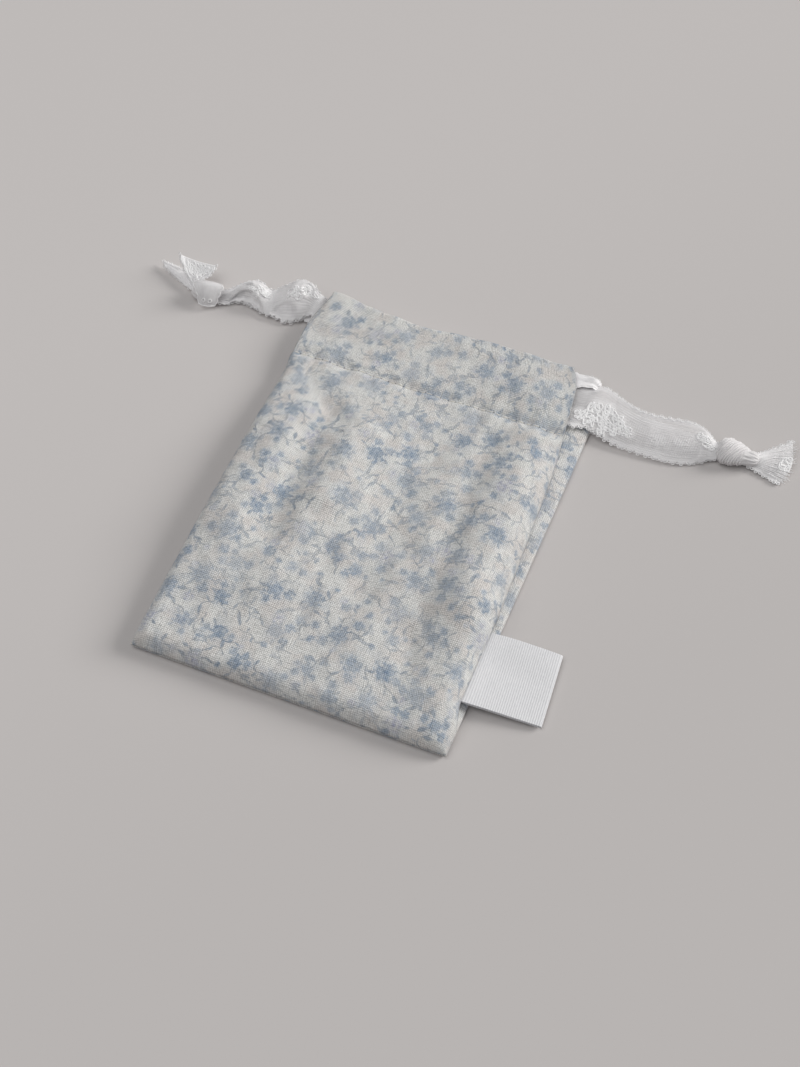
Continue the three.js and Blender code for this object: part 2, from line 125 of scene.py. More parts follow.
def meshFrom(name, points, faces, layers=None):
    mesh = bpy.data.meshes.new(name)
    mesh.from_pydata((np.asarray(points) * mm).tolist(), [], faces)
    for layer, values in (layers or {}).items():
        values = np.asarray(values, np.float32)
        kind = "FLOAT_VECTOR" if values.ndim == 2 else "FLOAT"
        attribute = mesh.attributes.new(layer, kind, "POINT")
        attribute.data.foreach_set("vector" if values.ndim == 2 else "value", values.ravel())
    mesh.shade_smooth()
    mesh.update()
    return mesh


def gridNormals(grid):
    across = np.gradient(grid, axis=1)
    along = np.gradient(grid, axis=0)
    normal = np.cross(across, along)
    return normal / np.maximum(np.linalg.norm(normal, axis=2, keepdims=True), 1e-9)


def gridFaces(index):  # the four corners of each cell in a grid of point numbers
    corners = [index[:-1, :-1], index[:-1, 1:], index[1:, 1:], index[1:, :-1]]
    return np.stack([c.ravel() for c in corners], axis=1)


def tubeFaces(rows, sides):  # rings of points joined into a tube with closed ends
    faces = []
    for row in range(rows - 1):
        for side in range(sides):
            a, b = row * sides + side, row * sides + (side + 1) % sides
            faces.append((a, b, b + sides, a + sides))
    faces.append(tuple(range(sides - 1, -1, -1)))
    faces.append(tuple(range((rows - 1) * sides, rows * sides)))
    return faces


def clothPiece(name, grid, thickness, layers, material):  # a sheet with two skins and closed edges
    rows, columns = grid.shape[:2]
    normal = gridNormals(grid)
    skins = [grid + normal * thickness / 2, grid - normal * thickness / 2]
    points = np.concatenate([skin.reshape(-1, 3) for skin in skins])
    index = np.arange(rows * columns).reshape(rows, columns)
    below = rows * columns
    upper = gridFaces(index)
    lower = upper[:, ::-1] + below
    edge = np.concatenate([index[0, :-1], index[:-1, -1], index[-1, :0:-1], index[:0:-1, 0]])
    after = np.roll(edge, -1)
    side = np.stack([edge, edge + below, after + below, after], axis=1)
    faces = np.concatenate([upper, lower, side]).tolist()
    doubled = {}
    for layer, values in layers.items():
        flat = values.reshape(rows * columns, -1)
        flat = np.concatenate([flat, flat])
        doubled[layer] = flat if flat.shape[1] == 3 else flat[:, 0]
    return addObject(name, meshFrom(name, points, faces, doubled), material)


def plainMesh(holder, name):  # what the modifiers make of an object, as a mesh of its own
    evaluated = holder.evaluated_get(bpy.context.evaluated_depsgraph_get())
    mesh = bpy.data.meshes.new_from_object(evaluated)
    mesh.name = name
    bpy.data.objects.remove(holder)
    return mesh


def ridePiece(piece, body, nodes=()):
    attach(piece, body)
    if nodes:
        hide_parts(*nodes)
    return piece


# Node tools

def addNode(tree, kind, feeds=None, **settings):  # a feed is another node's socket or a plain value
    made = tree.nodes.new(kind)
    for key, value in settings.items():
        setattr(made, key, value)
    for key, value in (feeds or {}).items():
        if isinstance(value, bpy.types.NodeSocket):
            tree.links.new(value, made.inputs[key])
        else:
            made.inputs[key].default_value = value
    return made


def calc(tree, operation, *values):
    return addNode(tree, "ShaderNodeMath", dict(enumerate(values)), operation=operation).outputs[0]


def ramp(tree, value, low, high):  # soft step from 0 at low to 1 at high
    feeds = {"Value": value, "From Min": low, "From Max": high}
    return addNode(tree, "ShaderNodeMapRange", feeds, interpolation_type="SMOOTHSTEP").outputs[0]


def blendColour(tree, share, first, second, blend="MIX"):  # 6 and 7 are the mix node's colour sockets
    feeds = {0: share, 6: first, 7: second}
    return addNode(tree, "ShaderNodeMix", feeds, data_type="RGBA", blend_type=blend).outputs[2]


def dimmed(tree, colour, share):
    return blendColour(tree, 1.0, colour, (share, share, share, 1), "MULTIPLY")


def noiseValue(tree, vector, scale, detail=2.0):
    feeds = {"Vector": vector, "Scale": scale, "Detail": detail}
    return addNode(tree, "ShaderNodeTexNoise", feeds).outputs["Fac"]


def stretch(tree, vector, x, y, z=1.0):
    return addNode(tree, "ShaderNodeVectorMath", {0: vector, 1: (x, y, z)}, operation="MULTIPLY").outputs[0]


def nodeGroup(name, kind, inputs, outputs):
    tree = bpy.data.node_groups.new(name, kind)
    for socketName, socketType, value in inputs:
        socket = tree.interface.new_socket(socketName, in_out="INPUT", socket_type=socketType)
        if value is not None:
            socket.default_value = value
    for socketName, socketType in outputs:
        tree.interface.new_socket(socketName, in_out="OUTPUT", socket_type=socketType)
    return tree, tree.nodes.new("NodeGroupInput").outputs, tree.nodes.new("NodeGroupOutput").inputs


def useGroup(tree, group, feeds):
    return addNode(tree, "ShaderNodeGroup", feeds, node_tree=group).outputs


def newMaterial(name, roughness, specular, sheen=0.0):
    material = bpy.data.materials.new(name)
    material.use_nodes = True
    tree = material.node_tree
    shader = tree.nodes["Principled BSDF"]
    shader.inputs["Roughness"].default_value = roughness
    shader.inputs["Specular IOR Level"].default_value = specular
    shader.inputs["Sheen Weight"].default_value = sheen
    return material, tree, shader


def attributeVector(tree, name):
    return addNode(tree, "ShaderNodeAttribute", attribute_name=name).outputs["Vector"]


def objectPlace(tree):
    return addNode(tree, "ShaderNodeTexCoord").outputs["Object"]


def axes(tree, vector):
    return addNode(tree, "ShaderNodeSeparateXYZ", {0: vector}).outputs


def bumpInto(tree, shader, height, strength, distance):
    feeds = {"Height": height, "Strength": strength, "Distance": distance}
    made = addNode(tree, "ShaderNodeBump", feeds)
    tree.links.new(made.outputs[0], shader.inputs["Normal"])


# Stage: the view of the photograph, a pale table, a wide window light from the far right and a pale ceiling

stage = {
    "photoHeight": 1067, "focal": 2000,  # pixels
    "sensor": 36, "clipStart": 0.01,
    "azimuth": 22.04, "elevation": 54.99, "distance": 496.5, "aim": (6.74, -4.13, 0),
    "tableColour": linear(204, 200, 199), "tableHalf": 2500,
    "tableLitToward": (-0.8, 0.6, 0), "tableShade": 0.05,
    "key": {"aim": (0.80, 0.60), "elevation": 25, "distance": 8000, "size": 3500, "power": 520,
            "tint": (1.0, 0.985, 0.96)},
    "ceiling": {"aim": (-0.85, -0.55), "elevation": 69, "distance": 2600, "size": 2400, "power": 28.0,
                "tint": (1.0, 0.995, 0.985)},
    "skyColour": (0.985, 0.99, 1.0, 1), "skyStrength": 0.2,
}


def buildCamera(s):
    turn, lift = math.radians(s["azimuth"]), math.radians(s["elevation"])
    back = Vector((math.sin(turn) * math.cos(lift), -math.cos(turn) * math.cos(lift), math.sin(lift)))
    lens = bpy.data.cameras.new("photoCamera")
    lens.sensor_fit = "AUTO"
    lens.sensor_width = s["sensor"]
    lens.lens = s["sensor"] * s["focal"] / s["photoHeight"]
    lens.clip_start = s["clipStart"]
    camera = bpy.data.objects.new("photoCamera", lens)
    camera.location = (Vector(s["aim"]) + back * s["distance"]) * mm
    camera.rotation_euler = (-back).to_track_quat("-Z", "Y").to_euler()
    scene.collection.objects.link(camera)
    scene.camera = camera


def buildTable(s):
    half = s["tableHalf"]
    corners = [(-half, -half, 0), (half, -half, 0), (half, half, 0), (-half, half, 0)]
    material, tree, shader = newMaterial("paleTable", roughness=0.6, specular=0.2)
    place = objectPlace(tree)
    feeds = {0: place, 1: s["tableLitToward"]}
    far = addNode(tree, "ShaderNodeVectorMath", feeds, operation="DOT_PRODUCT").outputs["Value"]
    # painted light falloff: the table is tinted lighter towards its back left and darker towards its front
    # right, with random mottling on top
    mottleAndFalloff = calc(tree, "MULTIPLY_ADD", noiseValue(tree, place, 3.0, 3.0), 0.2, ramp(tree, far, 0.12, -0.12))
    pale, deep = (
        tuple((1 + way * s["tableShade"]) * c for c in s["tableColour"][:3]) + (1,)
        for way in (1, -1)
    )
    tree.links.new(blendColour(tree, mottleAndFalloff, pale, deep), shader.inputs["Base Color"])
    table = addObject("table", meshFrom("table", corners, [(0, 1, 2, 3)]), material)


def buildLamp(name, lamp):
    light = bpy.data.lights.new(name + "Light", "AREA")
    light.shape = "SQUARE"
    light.size = lamp["size"] * mm
    light.energy = lamp["power"]
    light.color = lamp["tint"]
    rise = math.radians(lamp["elevation"])
    flat = Vector((*lamp["aim"], 0)).normalized() * math.cos(rise)
    towards = Vector((flat.x, flat.y, math.sin(rise)))
    holder = bpy.data.objects.new(name + "Light", light)
    holder.location = towards * lamp["distance"] * mm
    holder.rotation_euler = (-towards).to_track_quat("-Z", "Y").to_euler()
    scene.collection.objects.link(holder)


def buildSky(s):
    world = bpy.data.worlds.new("roomLight")
    scene.world = world
    world.use_nodes = True
    sky = world.node_tree.nodes["Background"]
    sky.inputs["Color"].default_value = s["skyColour"]
    sky.inputs["Strength"].default_value = s["skyStrength"]


buildCamera(stage)
buildTable(stage)
for lampName in ("key", "ceiling"):
    buildLamp(lampName, stage[lampName])
buildSky(stage)
print("stage built")


# Shared surface effects

threadLook = {
    "drift": 0.45, "driftScale": 0.9, "slubLong": 0.3, "slubWide": 2.6, "fuzzScale": 2.4,
    "crown": 0.8, "slub": 0.6, "fuzz": 0.9, "fuzzShade": 1.5, "slubShade": 0.9, "shade": (0.8, 0.2),
}


def weaveGroup(s):  # plain weave with uneven threads, in cloth millimetres
    tree, feed, out = nodeGroup(
        "weave", "ShaderNodeTree",
        [("Cloth", "NodeSocketVector", None), ("Pitch", "NodeSocketFloat", 0.5)],
        [("Height", "NodeSocketFloat"), ("Shade", "NodeSocketFloat")],
    )
    feeds = {"Vector": feed["Cloth"], "Scale": s["driftScale"], "Detail": 1.0}
    drift = addNode(tree, "ShaderNodeTexNoise", feeds)
    feeds = {0: drift.outputs["Color"], 1: (s["drift"], s["drift"], 0), 2: feed["Cloth"]}
    cloth = axes(tree, addNode(tree, "ShaderNodeVectorMath", feeds, operation="MULTIPLY_ADD").outputs[0])
    turns = calc(tree, "DIVIDE", math.pi, feed["Pitch"])
    warp = calc(tree, "SINE", calc(tree, "MULTIPLY", cloth[0], turns))
    weft = calc(tree, "SINE", calc(tree, "MULTIPLY", cloth[1], turns))
    crown = calc(tree, "POWER", calc(tree, "ABSOLUTE", calc(tree, "MULTIPLY", warp, weft)), 0.5)
    longThreads = noiseValue(tree, stretch(tree, feed["Cloth"], s["slubWide"], s["slubLong"], 0), 1.0)
    crossThreads = noiseValue(tree, stretch(tree, feed["Cloth"], s["slubLong"], s["slubWide"], 0), 1.0)
    slub = calc(tree, "ADD", longThreads, crossThreads)
    fuzz = noiseValue(tree, stretch(tree, feed["Cloth"], 1, 1, 0), s["fuzzScale"], 3.0)
    height = calc(tree, "MULTIPLY_ADD", slub, s["slub"], calc(tree, "MULTIPLY", crown, s["crown"]))
    tree.links.new(calc(tree, "MULTIPLY_ADD", fuzz, s["fuzz"], height), out["Height"])
    # Shade: the thread crowns light and the gaps between them in painted shade, mixed with uneven thread
    # tone from slubs and fuzz
    grain = calc(tree, "MULTIPLY_ADD", calc(tree, "SUBTRACT", fuzz, 0.5), s["fuzzShade"], crown)
    spread = calc(tree, "MULTIPLY_ADD", calc(tree, "SUBTRACT", slub, 1.0), s["slubShade"], grain)
    tree.links.new(calc(tree, "MULTIPLY_ADD", spread, *s["shade"]), out["Shade"])
    return tree


# Motifs of the print: how ragged the brush is, and where its soft edge starts and ends
bloomLook = {
    "petals": 5, "petal": (0.26, 0.72), "ragged": 1.8, "edge": (-0.2, 0.34),
    "heart": 0.4, "cleft": 0.3, "swirl": 0.16, "swirlTurns": 9.0, "wash": 1.5,
}
leafLook = {"ragged": 1.6, "edge": (-0.25, 0.55), "near": (1.5, 1.2)}
stemLook = {"ragged": 0.5, "edge": (-0.16, 0.2), "near": (0.62, 0.42)}


def motifGroup(name, inputs, outputs):
    sockets = [("Motif", "NodeSocketVector", None), ("Wander", "NodeSocketFloat", 0.5), *inputs]
    return nodeGroup(name, "ShaderNodeTree", sockets, [(output, "NodeSocketFloat") for output in outputs])


def raggedness(tree, feed, s):
    return calc(tree, "MULTIPLY", calc(tree, "SUBTRACT", feed["Wander"], 0.5), s["ragged"])


def bloomGroup(s):  # a soft round flower painted with a wet brush; Motif is its own x, y and reach
    tree, feed, out = motifGroup("bloom", [], ["Mask", "Depth"])
    local = axes(tree, feed["Motif"])
    turn = calc(tree, "ARCTAN2", local[1], local[0])
    petal = calc(tree, "ABSOLUTE", calc(tree, "COSINE", calc(tree, "MULTIPLY", turn, s["petals"] / 2)))
    edge = calc(tree, "MULTIPLY_ADD", petal, *s["petal"])
    room = calc(tree, "SUBTRACT", calc(tree, "ADD", edge, raggedness(tree, feed, s)), local[2])
    tree.links.new(ramp(tree, room, *s["edge"]), out["Mask"])
    heart = ramp(tree, local[2], 0.4, 0.1)
    swirl = calc(tree, "SINE", calc(tree, "MULTIPLY_ADD", local[2], s["swirlTurns"], turn))
    cleft = calc(tree, "MULTIPLY", calc(tree, "SUBTRACT", 1.0, petal), ramp(tree, local[2], 0.15, 0.6))
    dark = calc(tree, "MULTIPLY_ADD", heart, s["heart"], calc(tree, "MULTIPLY", cleft, s["cleft"]))
    dark = calc(tree, "MULTIPLY_ADD", swirl, s["swirl"], dark)
    wash = calc(tree, "MULTIPLY", calc(tree, "SUBTRACT", feed["Wander"], 0.3), s["wash"])
    tree.links.new(calc(tree, "ADD", dark, wash), out["Depth"])
    return tree


def leafGroup(s):  # a pointed leaf; Motif is along, across and reach
    tree, feed, out = motifGroup("leaf", [], ["Mask"])
    local = axes(tree, feed["Motif"])
    blade = calc(tree, "SUBTRACT", 1.0, calc(tree, "MULTIPLY", local[0], local[0]))
    room = calc(tree, "SUBTRACT", blade, calc(tree, "ABSOLUTE", local[1]))
    soft = ramp(tree, calc(tree, "ADD", room, raggedness(tree, feed, s)), *s["edge"])
    near = ramp(tree, local[2], *s["near"])
    tree.links.new(calc(tree, "MULTIPLY", soft, near), out["Mask"])
    return tree


def stemGroup(s):  # a thin brush line; Motif is signed distance and distance
    tree, feed, out = motifGroup("stem", [("Width", "NodeSocketFloat", 0.2)], ["Mask"])
    local = axes(tree, feed["Motif"])
    room = calc(tree, "SUBTRACT", feed["Width"], calc(tree, "ABSOLUTE", local[0]))
    soft = ramp(tree, calc(tree, "ADD", room, raggedness(tree, feed, s)), *s["edge"])
    near = ramp(tree, local[1], *s["near"])
    tree.links.new(calc(tree, "MULTIPLY", soft, near), out["Mask"])
    return tree


weave = weaveGroup(threadLook)
bloom = bloomGroup(bloomLook)
leaf = leafGroup(leafLook)
stem = stemGroup(stemLook)


# Printed cotton

cotton = {
    "thickness": 0.4, "pitch": 0.46, "cutWidth": 92, "cutLength": 152, "stemWidth": 0.13,
    "ground": linear(241, 241, 239), "groundWarm": linear(233, 229, 226), "gap": 0.43,
    "petalPale": linear(193, 202, 212), "petalDeep": linear(143, 161, 184),
    "petalLilac": linear(182, 185, 208), "washColour": linear(206, 212, 219),
    "leafColour": linear(165, 176, 190), "stemColour": linear(160, 168, 178),
    "needlePitch": 2.1, "needleHole": 0.34, "holeShade": 0.3, "wash": 0.4, "halo": 0.4, "mottle": 0.25,
    # shares of ink: how much it varies, and the least
    "ink": (0.52, 0.74), "stemInk": (0.35, 0.36), "leafInk": (0.45, 0.3), "petalInk": (0.4, 0.36),
}


def cottonMaterial(c):
    material, tree, shader = newMaterial("printedCotton", roughness=0.92, specular=0.15, sheen=0.15)
    cloth = attributeVector(tree, "cloth")
    threads = useGroup(tree, weave, {"Cloth": cloth, "Pitch": c["pitch"]})
    wander = noiseValue(tree, cloth, 0.95, 4.0)
    flower = useGroup(tree, bloom, {"Motif": attributeVector(tree, "bloom"), "Wander": wander})
    blade = useGroup(tree, leaf, {"Motif": attributeVector(tree, "leaf"), "Wander": wander})
    feeds = {"Motif": attributeVector(tree, "stem"), "Wander": wander, "Width": c["stemWidth"]}
    line = useGroup(tree, stem, feeds)
    tones = axes(tree, attributeVector(tree, "tone"))

    patches = ramp(tree, noiseValue(tree, cloth, 0.16, 2.0), 0.4, 0.65)
    colour = blendColour(tree, patches, c["ground"], c["groundWarm"])
    wash = ramp(tree, noiseValue(tree, cloth, 0.3, 4.0), 0.5, 0.7)  # pale wash behind the sprigs
    colour = blendColour(tree, calc(tree, "MULTIPLY", wash, c["wash"]), colour, c["washColour"])
    fade = ramp(tree, noiseValue(tree, cloth, 0.35, 2.0), 0.25, 0.6)  # ink takes unevenly
    broad = ramp(tree, noiseValue(tree, cloth, 0.05, 1.0), 0.35, 0.65)
    amount = calc(tree, "MULTIPLY_ADD", broad, *c["ink"])
    mottle = ramp(tree, noiseValue(tree, cloth, 2.0, 3.0), 0.32, 0.62)
    near = axes(tree, attributeVector(tree, "bloom"))[2]
    halo = calc(tree, "MULTIPLY", ramp(tree, calc(tree, "ADD", near, wander), 2.3, 1.2), c["halo"])
    colour = blendColour(tree, halo, colour, c["washColour"])
    lineInk = calc(tree, "MULTIPLY", line["Mask"], calc(tree, "MULTIPLY_ADD", fade, *c["stemInk"]))
    colour = blendColour(tree, calc(tree, "MULTIPLY", lineInk, amount), colour, c["stemColour"])
    leafInk = calc(tree, "MULTIPLY", blade["Mask"], calc(tree, "MULTIPLY_ADD", tones[1], *c["leafInk"]))
    colour = blendColour(tree, calc(tree, "MULTIPLY", leafInk, amount), colour, c["leafColour"])
    petal = blendColour(tree, flower["Depth"], c["petalPale"], c["petalDeep"])
    lilac = blendColour(tree, flower["Depth"], c["ground"], c["petalLilac"])
    petal = blendColour(tree, ramp(tree, tones[0], 0.76, 0.84), petal, lilac)
    petalInk = calc(tree, "MULTIPLY", flower["Mask"], calc(tree, "MULTIPLY_ADD", tones[2], *c["petalInk"]))
    dabs = calc(tree, "MULTIPLY", mottle, flower["Mask"])
    petalInk = calc(tree, "MULTIPLY_ADD", dabs, c["mottle"], petalInk)
    colour = blendColour(tree, calc(tree, "MULTIPLY", petalInk, amount), colour, petal)
    sewn = axes(tree, attributeVector(tree, "sewn"))  # needle holes between the casing's stitches
    fromStitch = calc(tree, "PINGPONG", sewn[0], c["needlePitch"] / 2)
    toHole = calc(tree, "SUBTRACT", c["needlePitch"] / 2, fromStitch)
    away = addNode(tree, "ShaderNodeCombineXYZ", {0: toHole, 1: sewn[1]}).outputs[0]
    reach = addNode(tree, "ShaderNodeVectorMath", {0: away}, operation="LENGTH").outputs["Value"]
    uneven = calc(tree, "MULTIPLY_ADD", fade, 0.5, 0.4)
    # painted shadow in the needle holes: the cloth colour is darkened round each hole, unevenly
    holeShadow = calc(tree, "MULTIPLY", ramp(tree, reach, c["needleHole"], 0.1), uneven)
    colour = blendColour(tree, holeShadow, colour, dimmed(tree, colour, c["holeShade"]))
    # painted shade between the threads, mixed with uneven thread tone
    between = dimmed(tree, colour, c["gap"])  # between the threads
    tree.links.new(blendColour(tree, threads["Shade"], between, colour), shader.inputs["Base Color"])
    bumpInto(tree, shader, threads["Height"], strength=0.7, distance=0.00018)
    return material


cottonFinish = cottonMaterial(cotton)

# The print: sprigs scattered over the flat cloth, each a curved stem with branches, leaves and flowers

sprigs = {
    "gap": 8.0, "step": 0.5, "wave": 0.62, "sway": (0.6, 1.3), "twigLength": (3.5, 7.0),
    "roseSize": (1.8, 2.9), "bloomSize": (1.0, 1.6), "budSize": (0.6, 0.95),
    "leafLength": (1.5, 3.0), "leafWidth": 0.4, "leafAngle": (0.5, 1.1), "cell": 1.2,
    "tries": 6000, "fillTries": 7000, "budShare": 0.55, "bloomShare": 0.3, "margin": 8,
}


def scatterSprigs(width, length, gap, draw):
    spots = []
    for _ in range(sprigs["tries"]):
        spot = (draw.uniform(-width / 2, width / 2), draw.uniform(0, length))
        if all(math.dist(spot, other) > gap for other in spots):
            spots.append(spot)
    return spots


def growPrint(width, length, seed, s):
    draw = random.Random(seed)
    stems, leaves, blooms, taken = [], [], [], set()

    def cell(x, y):
        return round(x / s["cell"]), round(y / s["cell"])

    def isFree(x, y):
        column, row = cell(x, y)
        return not any((column + i, row + j) in taken for i in (-1, 0, 1) for j in (-1, 0, 1))

    def walk(x, y, heading, distance):  # a line that sways from side to side
        line = [(x, y, heading)]
        phase, sway = draw.uniform(0, math.tau), draw.uniform(*s["sway"])
        for k in range(round(distance / s["step"])):
            heading += s["wave"] * math.cos(phase + sway * k * s["step"]) * s["step"]
            x += math.cos(heading) * s["step"]
            y += math.sin(heading) * s["step"]
            line.append((x, y, heading))
        stems.extend(zip(line[:-1], line[1:]))
        taken.update(cell(px, py) for px, py, _ in line)
        return line

    def addBloom(x, y, size):
        for other in blooms:
            if math.dist((x, y), other[:2]) < 0.8 * (size + other[2]):
                return False
        blooms.append((x, y, size, draw.uniform(0, math.tau), draw.random(), draw.random()))
        taken.update(cell(x + i * size / 2, y + j * size / 2) for i in (-1, 0, 1) for j in (-1, 0, 1))
        return True

    def addLeaf(x, y, heading):
        size = draw.uniform(*s["leafLength"]) / 2
        middle = (x + math.cos(heading) * size, y + math.sin(heading) * size)
        leaves.append((*middle, size, heading, draw.random()))
        taken.add(cell(*middle))

    def twig(x, y, heading):
        line = walk(x, y, heading, draw.uniform(*s["twigLength"]))
        side = draw.choice((-1, 1))
        for stemX, stemY, stemHeading in line[3:-2:4]:
            addLeaf(stemX, stemY, stemHeading + side * draw.uniform(*s["leafAngle"]))
            side = -side
        endX, endY, endHeading = line[-1]
        size = draw.uniform(*s["budSize"])
        if draw.random() < s["budShare"]:
            addBloom(endX + math.cos(endHeading) * size, endY + math.sin(endHeading) * size, size)
        else:
            addLeaf(endX, endY, endHeading)

    for x, y in scatterSprigs(width, length, s["gap"], draw):  # loose bunches round one larger flower
        heart = draw.uniform(*s["roseSize"])
        addBloom(x, y, heart)
        start = draw.uniform(0, math.tau)
        for k in range(draw.randint(5, 7)):
            away = start + k * math.tau / 6 + draw.uniform(-0.3, 0.3)
            rimX, rimY = x + 0.8 * heart * math.cos(away), y + 0.8 * heart * math.sin(away)
            kind = draw.random()
            if kind < s["bloomShare"]:
                size = draw.uniform(*s["bloomSize"])
                reach = 0.9 * (heart + size)
                addBloom(x + reach * math.cos(away), y + reach * math.sin(away), size)
            elif kind < 2 * s["bloomShare"]:
                addLeaf(rimX, rimY, away)
            elif isFree(x + (heart + 2) * math.cos(away), y + (heart + 2) * math.sin(away)):
                twig(rimX, rimY, away)
    for _ in range(s["fillTries"]):  # curled twigs and small buds in what is still bare
        x, y = draw.uniform(-width / 2, width / 2), draw.uniform(0, length)
        if isFree(x, y):
            if draw.random() < s["bloomShare"]:
                addBloom(x, y, draw.uniform(*s["bloomSize"]))
                addLeaf(x, y, draw.uniform(0, math.tau))
            else:
                twig(x, y, draw.uniform(0, math.tau))
    return stems, leaves, blooms


def paintPrint(u, v, seed):  # each grid point's place in its nearest stem, leaf and flower
    margin = sprigs["margin"]
    stems, leaves, blooms = growPrint(u[-1] - u[0] + margin, v[-1] + margin, seed, sprigs)
    shape = (len(v), len(u))
    far = 9.0
    layers = {name: np.full((*shape, 3), far, np.float32) for name in ("bloom", "leaf", "stem")}
    layers["tone"] = np.zeros((*shape, 3), np.float32)

    def window(x, y, reach):
        columns = slice(*np.searchsorted(u, (x - reach, x + reach)))
        rows = slice(*np.searchsorted(v, (y - reach, y + reach)))
        gridU, gridV = np.meshgrid(u[columns] - x, v[rows] - y)
        return (rows, columns), gridU, gridV

    def keep(layer, area, value, measure):
        held = layers[layer][area]
        closer = measure < (held[..., 1] if layer == "stem" else held[..., 2])
        held[closer] = value[closer]
        return closer

    for (x0, y0, heading), (x1, y1, _) in stems:
        area, dx, dy = window((x0 + x1) / 2, (y0 + y1) / 2, 1.9)
        along = dx * math.cos(heading) + dy * math.sin(heading)
        aside = dy * math.cos(heading) - dx * math.sin(heading)
        past = np.maximum(np.abs(along) - sprigs["step"] / 2, 0)
        reach = np.hypot(aside, past)
        keep("stem", area, np.stack([aside, reach, reach], axis=-1), reach)
    for x, y, size, heading, tone in leaves:
        area, dx, dy = window(x, y, 2.2 * size)
        along = (dx * math.cos(heading) + dy * math.sin(heading)) / size
        across = (dy * math.cos(heading) - dx * math.sin(heading)) / (size * sprigs["leafWidth"])
        reach = np.maximum(np.abs(along), np.abs(across) * 0.9)
        closer = keep("leaf", area, np.stack([along, across, reach], axis=-1), reach)
        layers["tone"][area][..., 1][closer] = tone
    for x, y, size, turn, tone, ink in blooms:
        area, dx, dy = window(x, y, 2.2 * size)
        localX = (dx * math.cos(turn) + dy * math.sin(turn)) / size
        localY = (dy * math.cos(turn) - dx * math.sin(turn)) / size
        reach = np.hypot(localX, localY)
        closer = keep("bloom", area, np.stack([localX, localY, reach], axis=-1), reach)
        layers["tone"][area][..., 0][closer] = tone
        layers["tone"][area][..., 2][closer] = ink
    print("print painted:", len(stems), "stem steps,", len(leaves), "leaves,", len(blooms), "flowers")
    return layers


def clothLayers(grid, seed):  # cloth coordinates along the grid's middle lines, and the print on them
    rows, columns = grid.shape[:2]
    u = runLength(grid[rows // 3])
    u -= u[-1] / 2
    v = runLength(grid[:, columns // 2])
    layers = paintPrint(u, v, seed)
    gridU, gridV = np.meshgrid(u, v)
    layers["cloth"] = np.stack([gridU, gridV, np.zeros_like(gridU)], axis=-1)
    return layers


# Pouch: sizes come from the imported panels, seams and stitches

backLow, backHigh = nodeBox("back_panel")
frontLow, frontHigh = nodeBox("front_panel")
pouch = {
    "half": backHigh[0], "mouthY": backHigh[1], "bottomY": backLow[1], "crownZ": frontHigh[2],
    "stitchY": nodeMiddle("front_casing_stitches")[1],
    "rollStart": nodeBox("right_seam_thread")[0][1], "slitY": nodeBox("right_seam_thread")[1][1],
    "edgeIn": 0.2, "casingIn": 0.3, "cornerIn": 2.6, "cornerFrom": 44, "cornerRise": 1.3,
    "shoulder": 32, "crownDrop": 0.5, "crownPower": 28.0, "rightPower": 11.0, "rimZ": 1.4, "rightRimZ": 3.5,
    "bottomRound": 4.2, "bottomPower": 2.4, "bottomQuick": 0.58, "bottomRest": 0.42, "bottomSlow": 46,
    "casingZ": 4.9, "casingSag": 0.15, "foldRadius": 1.0, "foldGain": 1.45, "sewnShare": 0.97,
    "hemZ": 2.9, "hemTaper": 4, "hemLap": 1.5, "hemHalf": 32.4, "hemDrop": 1.4,
    "columns": 168, "rowStep": 0.62, "foldRows": 10, "hemRows": 25, "roundRows": 30, "rimIn": 0.1,
}
foldY = pouch["mouthY"] - cotton["thickness"] / 2 - pouch["foldRadius"]

# Soft folds of the front: from and to (x, y), height and half width in millimetres
frontFolds = [
    ((29, 33), (32, -22), 1.7, 8.0),
    ((35, -20), (35, -48), 0.9, 5.0),
    ((4, 16), (8, -26), -1.2, 8.0),
    ((-13, 18), (-12, -6), 1.1, 5.0),
    ((-14, -8), (-16, -36), 0.7, 4.5),
    ((20, 12), (23, -40), -0.7, 4.0),
    ((-30, 8), (-31, -38), 0.6, 4.5),
    ((-24, 22), (-22, -20), -0.8, 4.0),
    ((20, 37), (31, 33), 0.7, 2.6),
    ((-5, -20), (-4, -42), -0.5, 2.4),
    ((-33, 30), (-18, 18), -0.45, 3.4),
    ((12, -18), (9, -50), 0.7, 4.0),
    ((-36, -14), (-24, -8), 0.35, 2.4),
    ((22, -36), (26, -54), -0.5, 3.0),
]
# Noise on the front: height, scale along x and y, seed
frontRipples = [(0.6, 19, 26, 1), (0.5, 7, 11, 2), (0.22, 3.4, 4.6, 10)]
fineRipples = [(0.1, 1.6, 1.9, 7)]
casingRipples = [(0.45, 7, 9, 8), (0.25, 3.2, 5, 12)]
mouthRipples = [(0.35, 7, 1, 9)]
# Puckers run away from a sewn line: height, scale along x and y, seed, and their reach
puckers = {
    "stitches": (0.55, 2.9, 16, 3, 5), "right": (0.5, 13, 3.1, 4, 5),
    "left": (0.5, 13, 3.4, 5, 5), "bottom": (0.4, 3.3, 13, 6, 6),
}
stitchCreases = [(0.58, 1.2), (0.15, 4)]  # depth and reach
# The casing swells on the right, sinks in the middle and peaks at its left corner: x, y, reaches, height
casingSwells = [(23, 47, 10, 9, 1.6), (-2, 47, 9, 9, -0.3)]
cornerPeak = [(-36, 57.5, 6.5, 7, 1.5)]
mouthDips = [(-14, 14, -1.5), (24, 5, -0.5)]  # x, reach and depth
# The front's right edge lies further in towards the mouth: y and x
rightRimLine = [
    (-21, 38.5), (-3, 37.8), (23, 36.4), (33.5, 35.4), (44, 34.3), (52, 33.2), (56, 31.6), (59, 29.6),
]


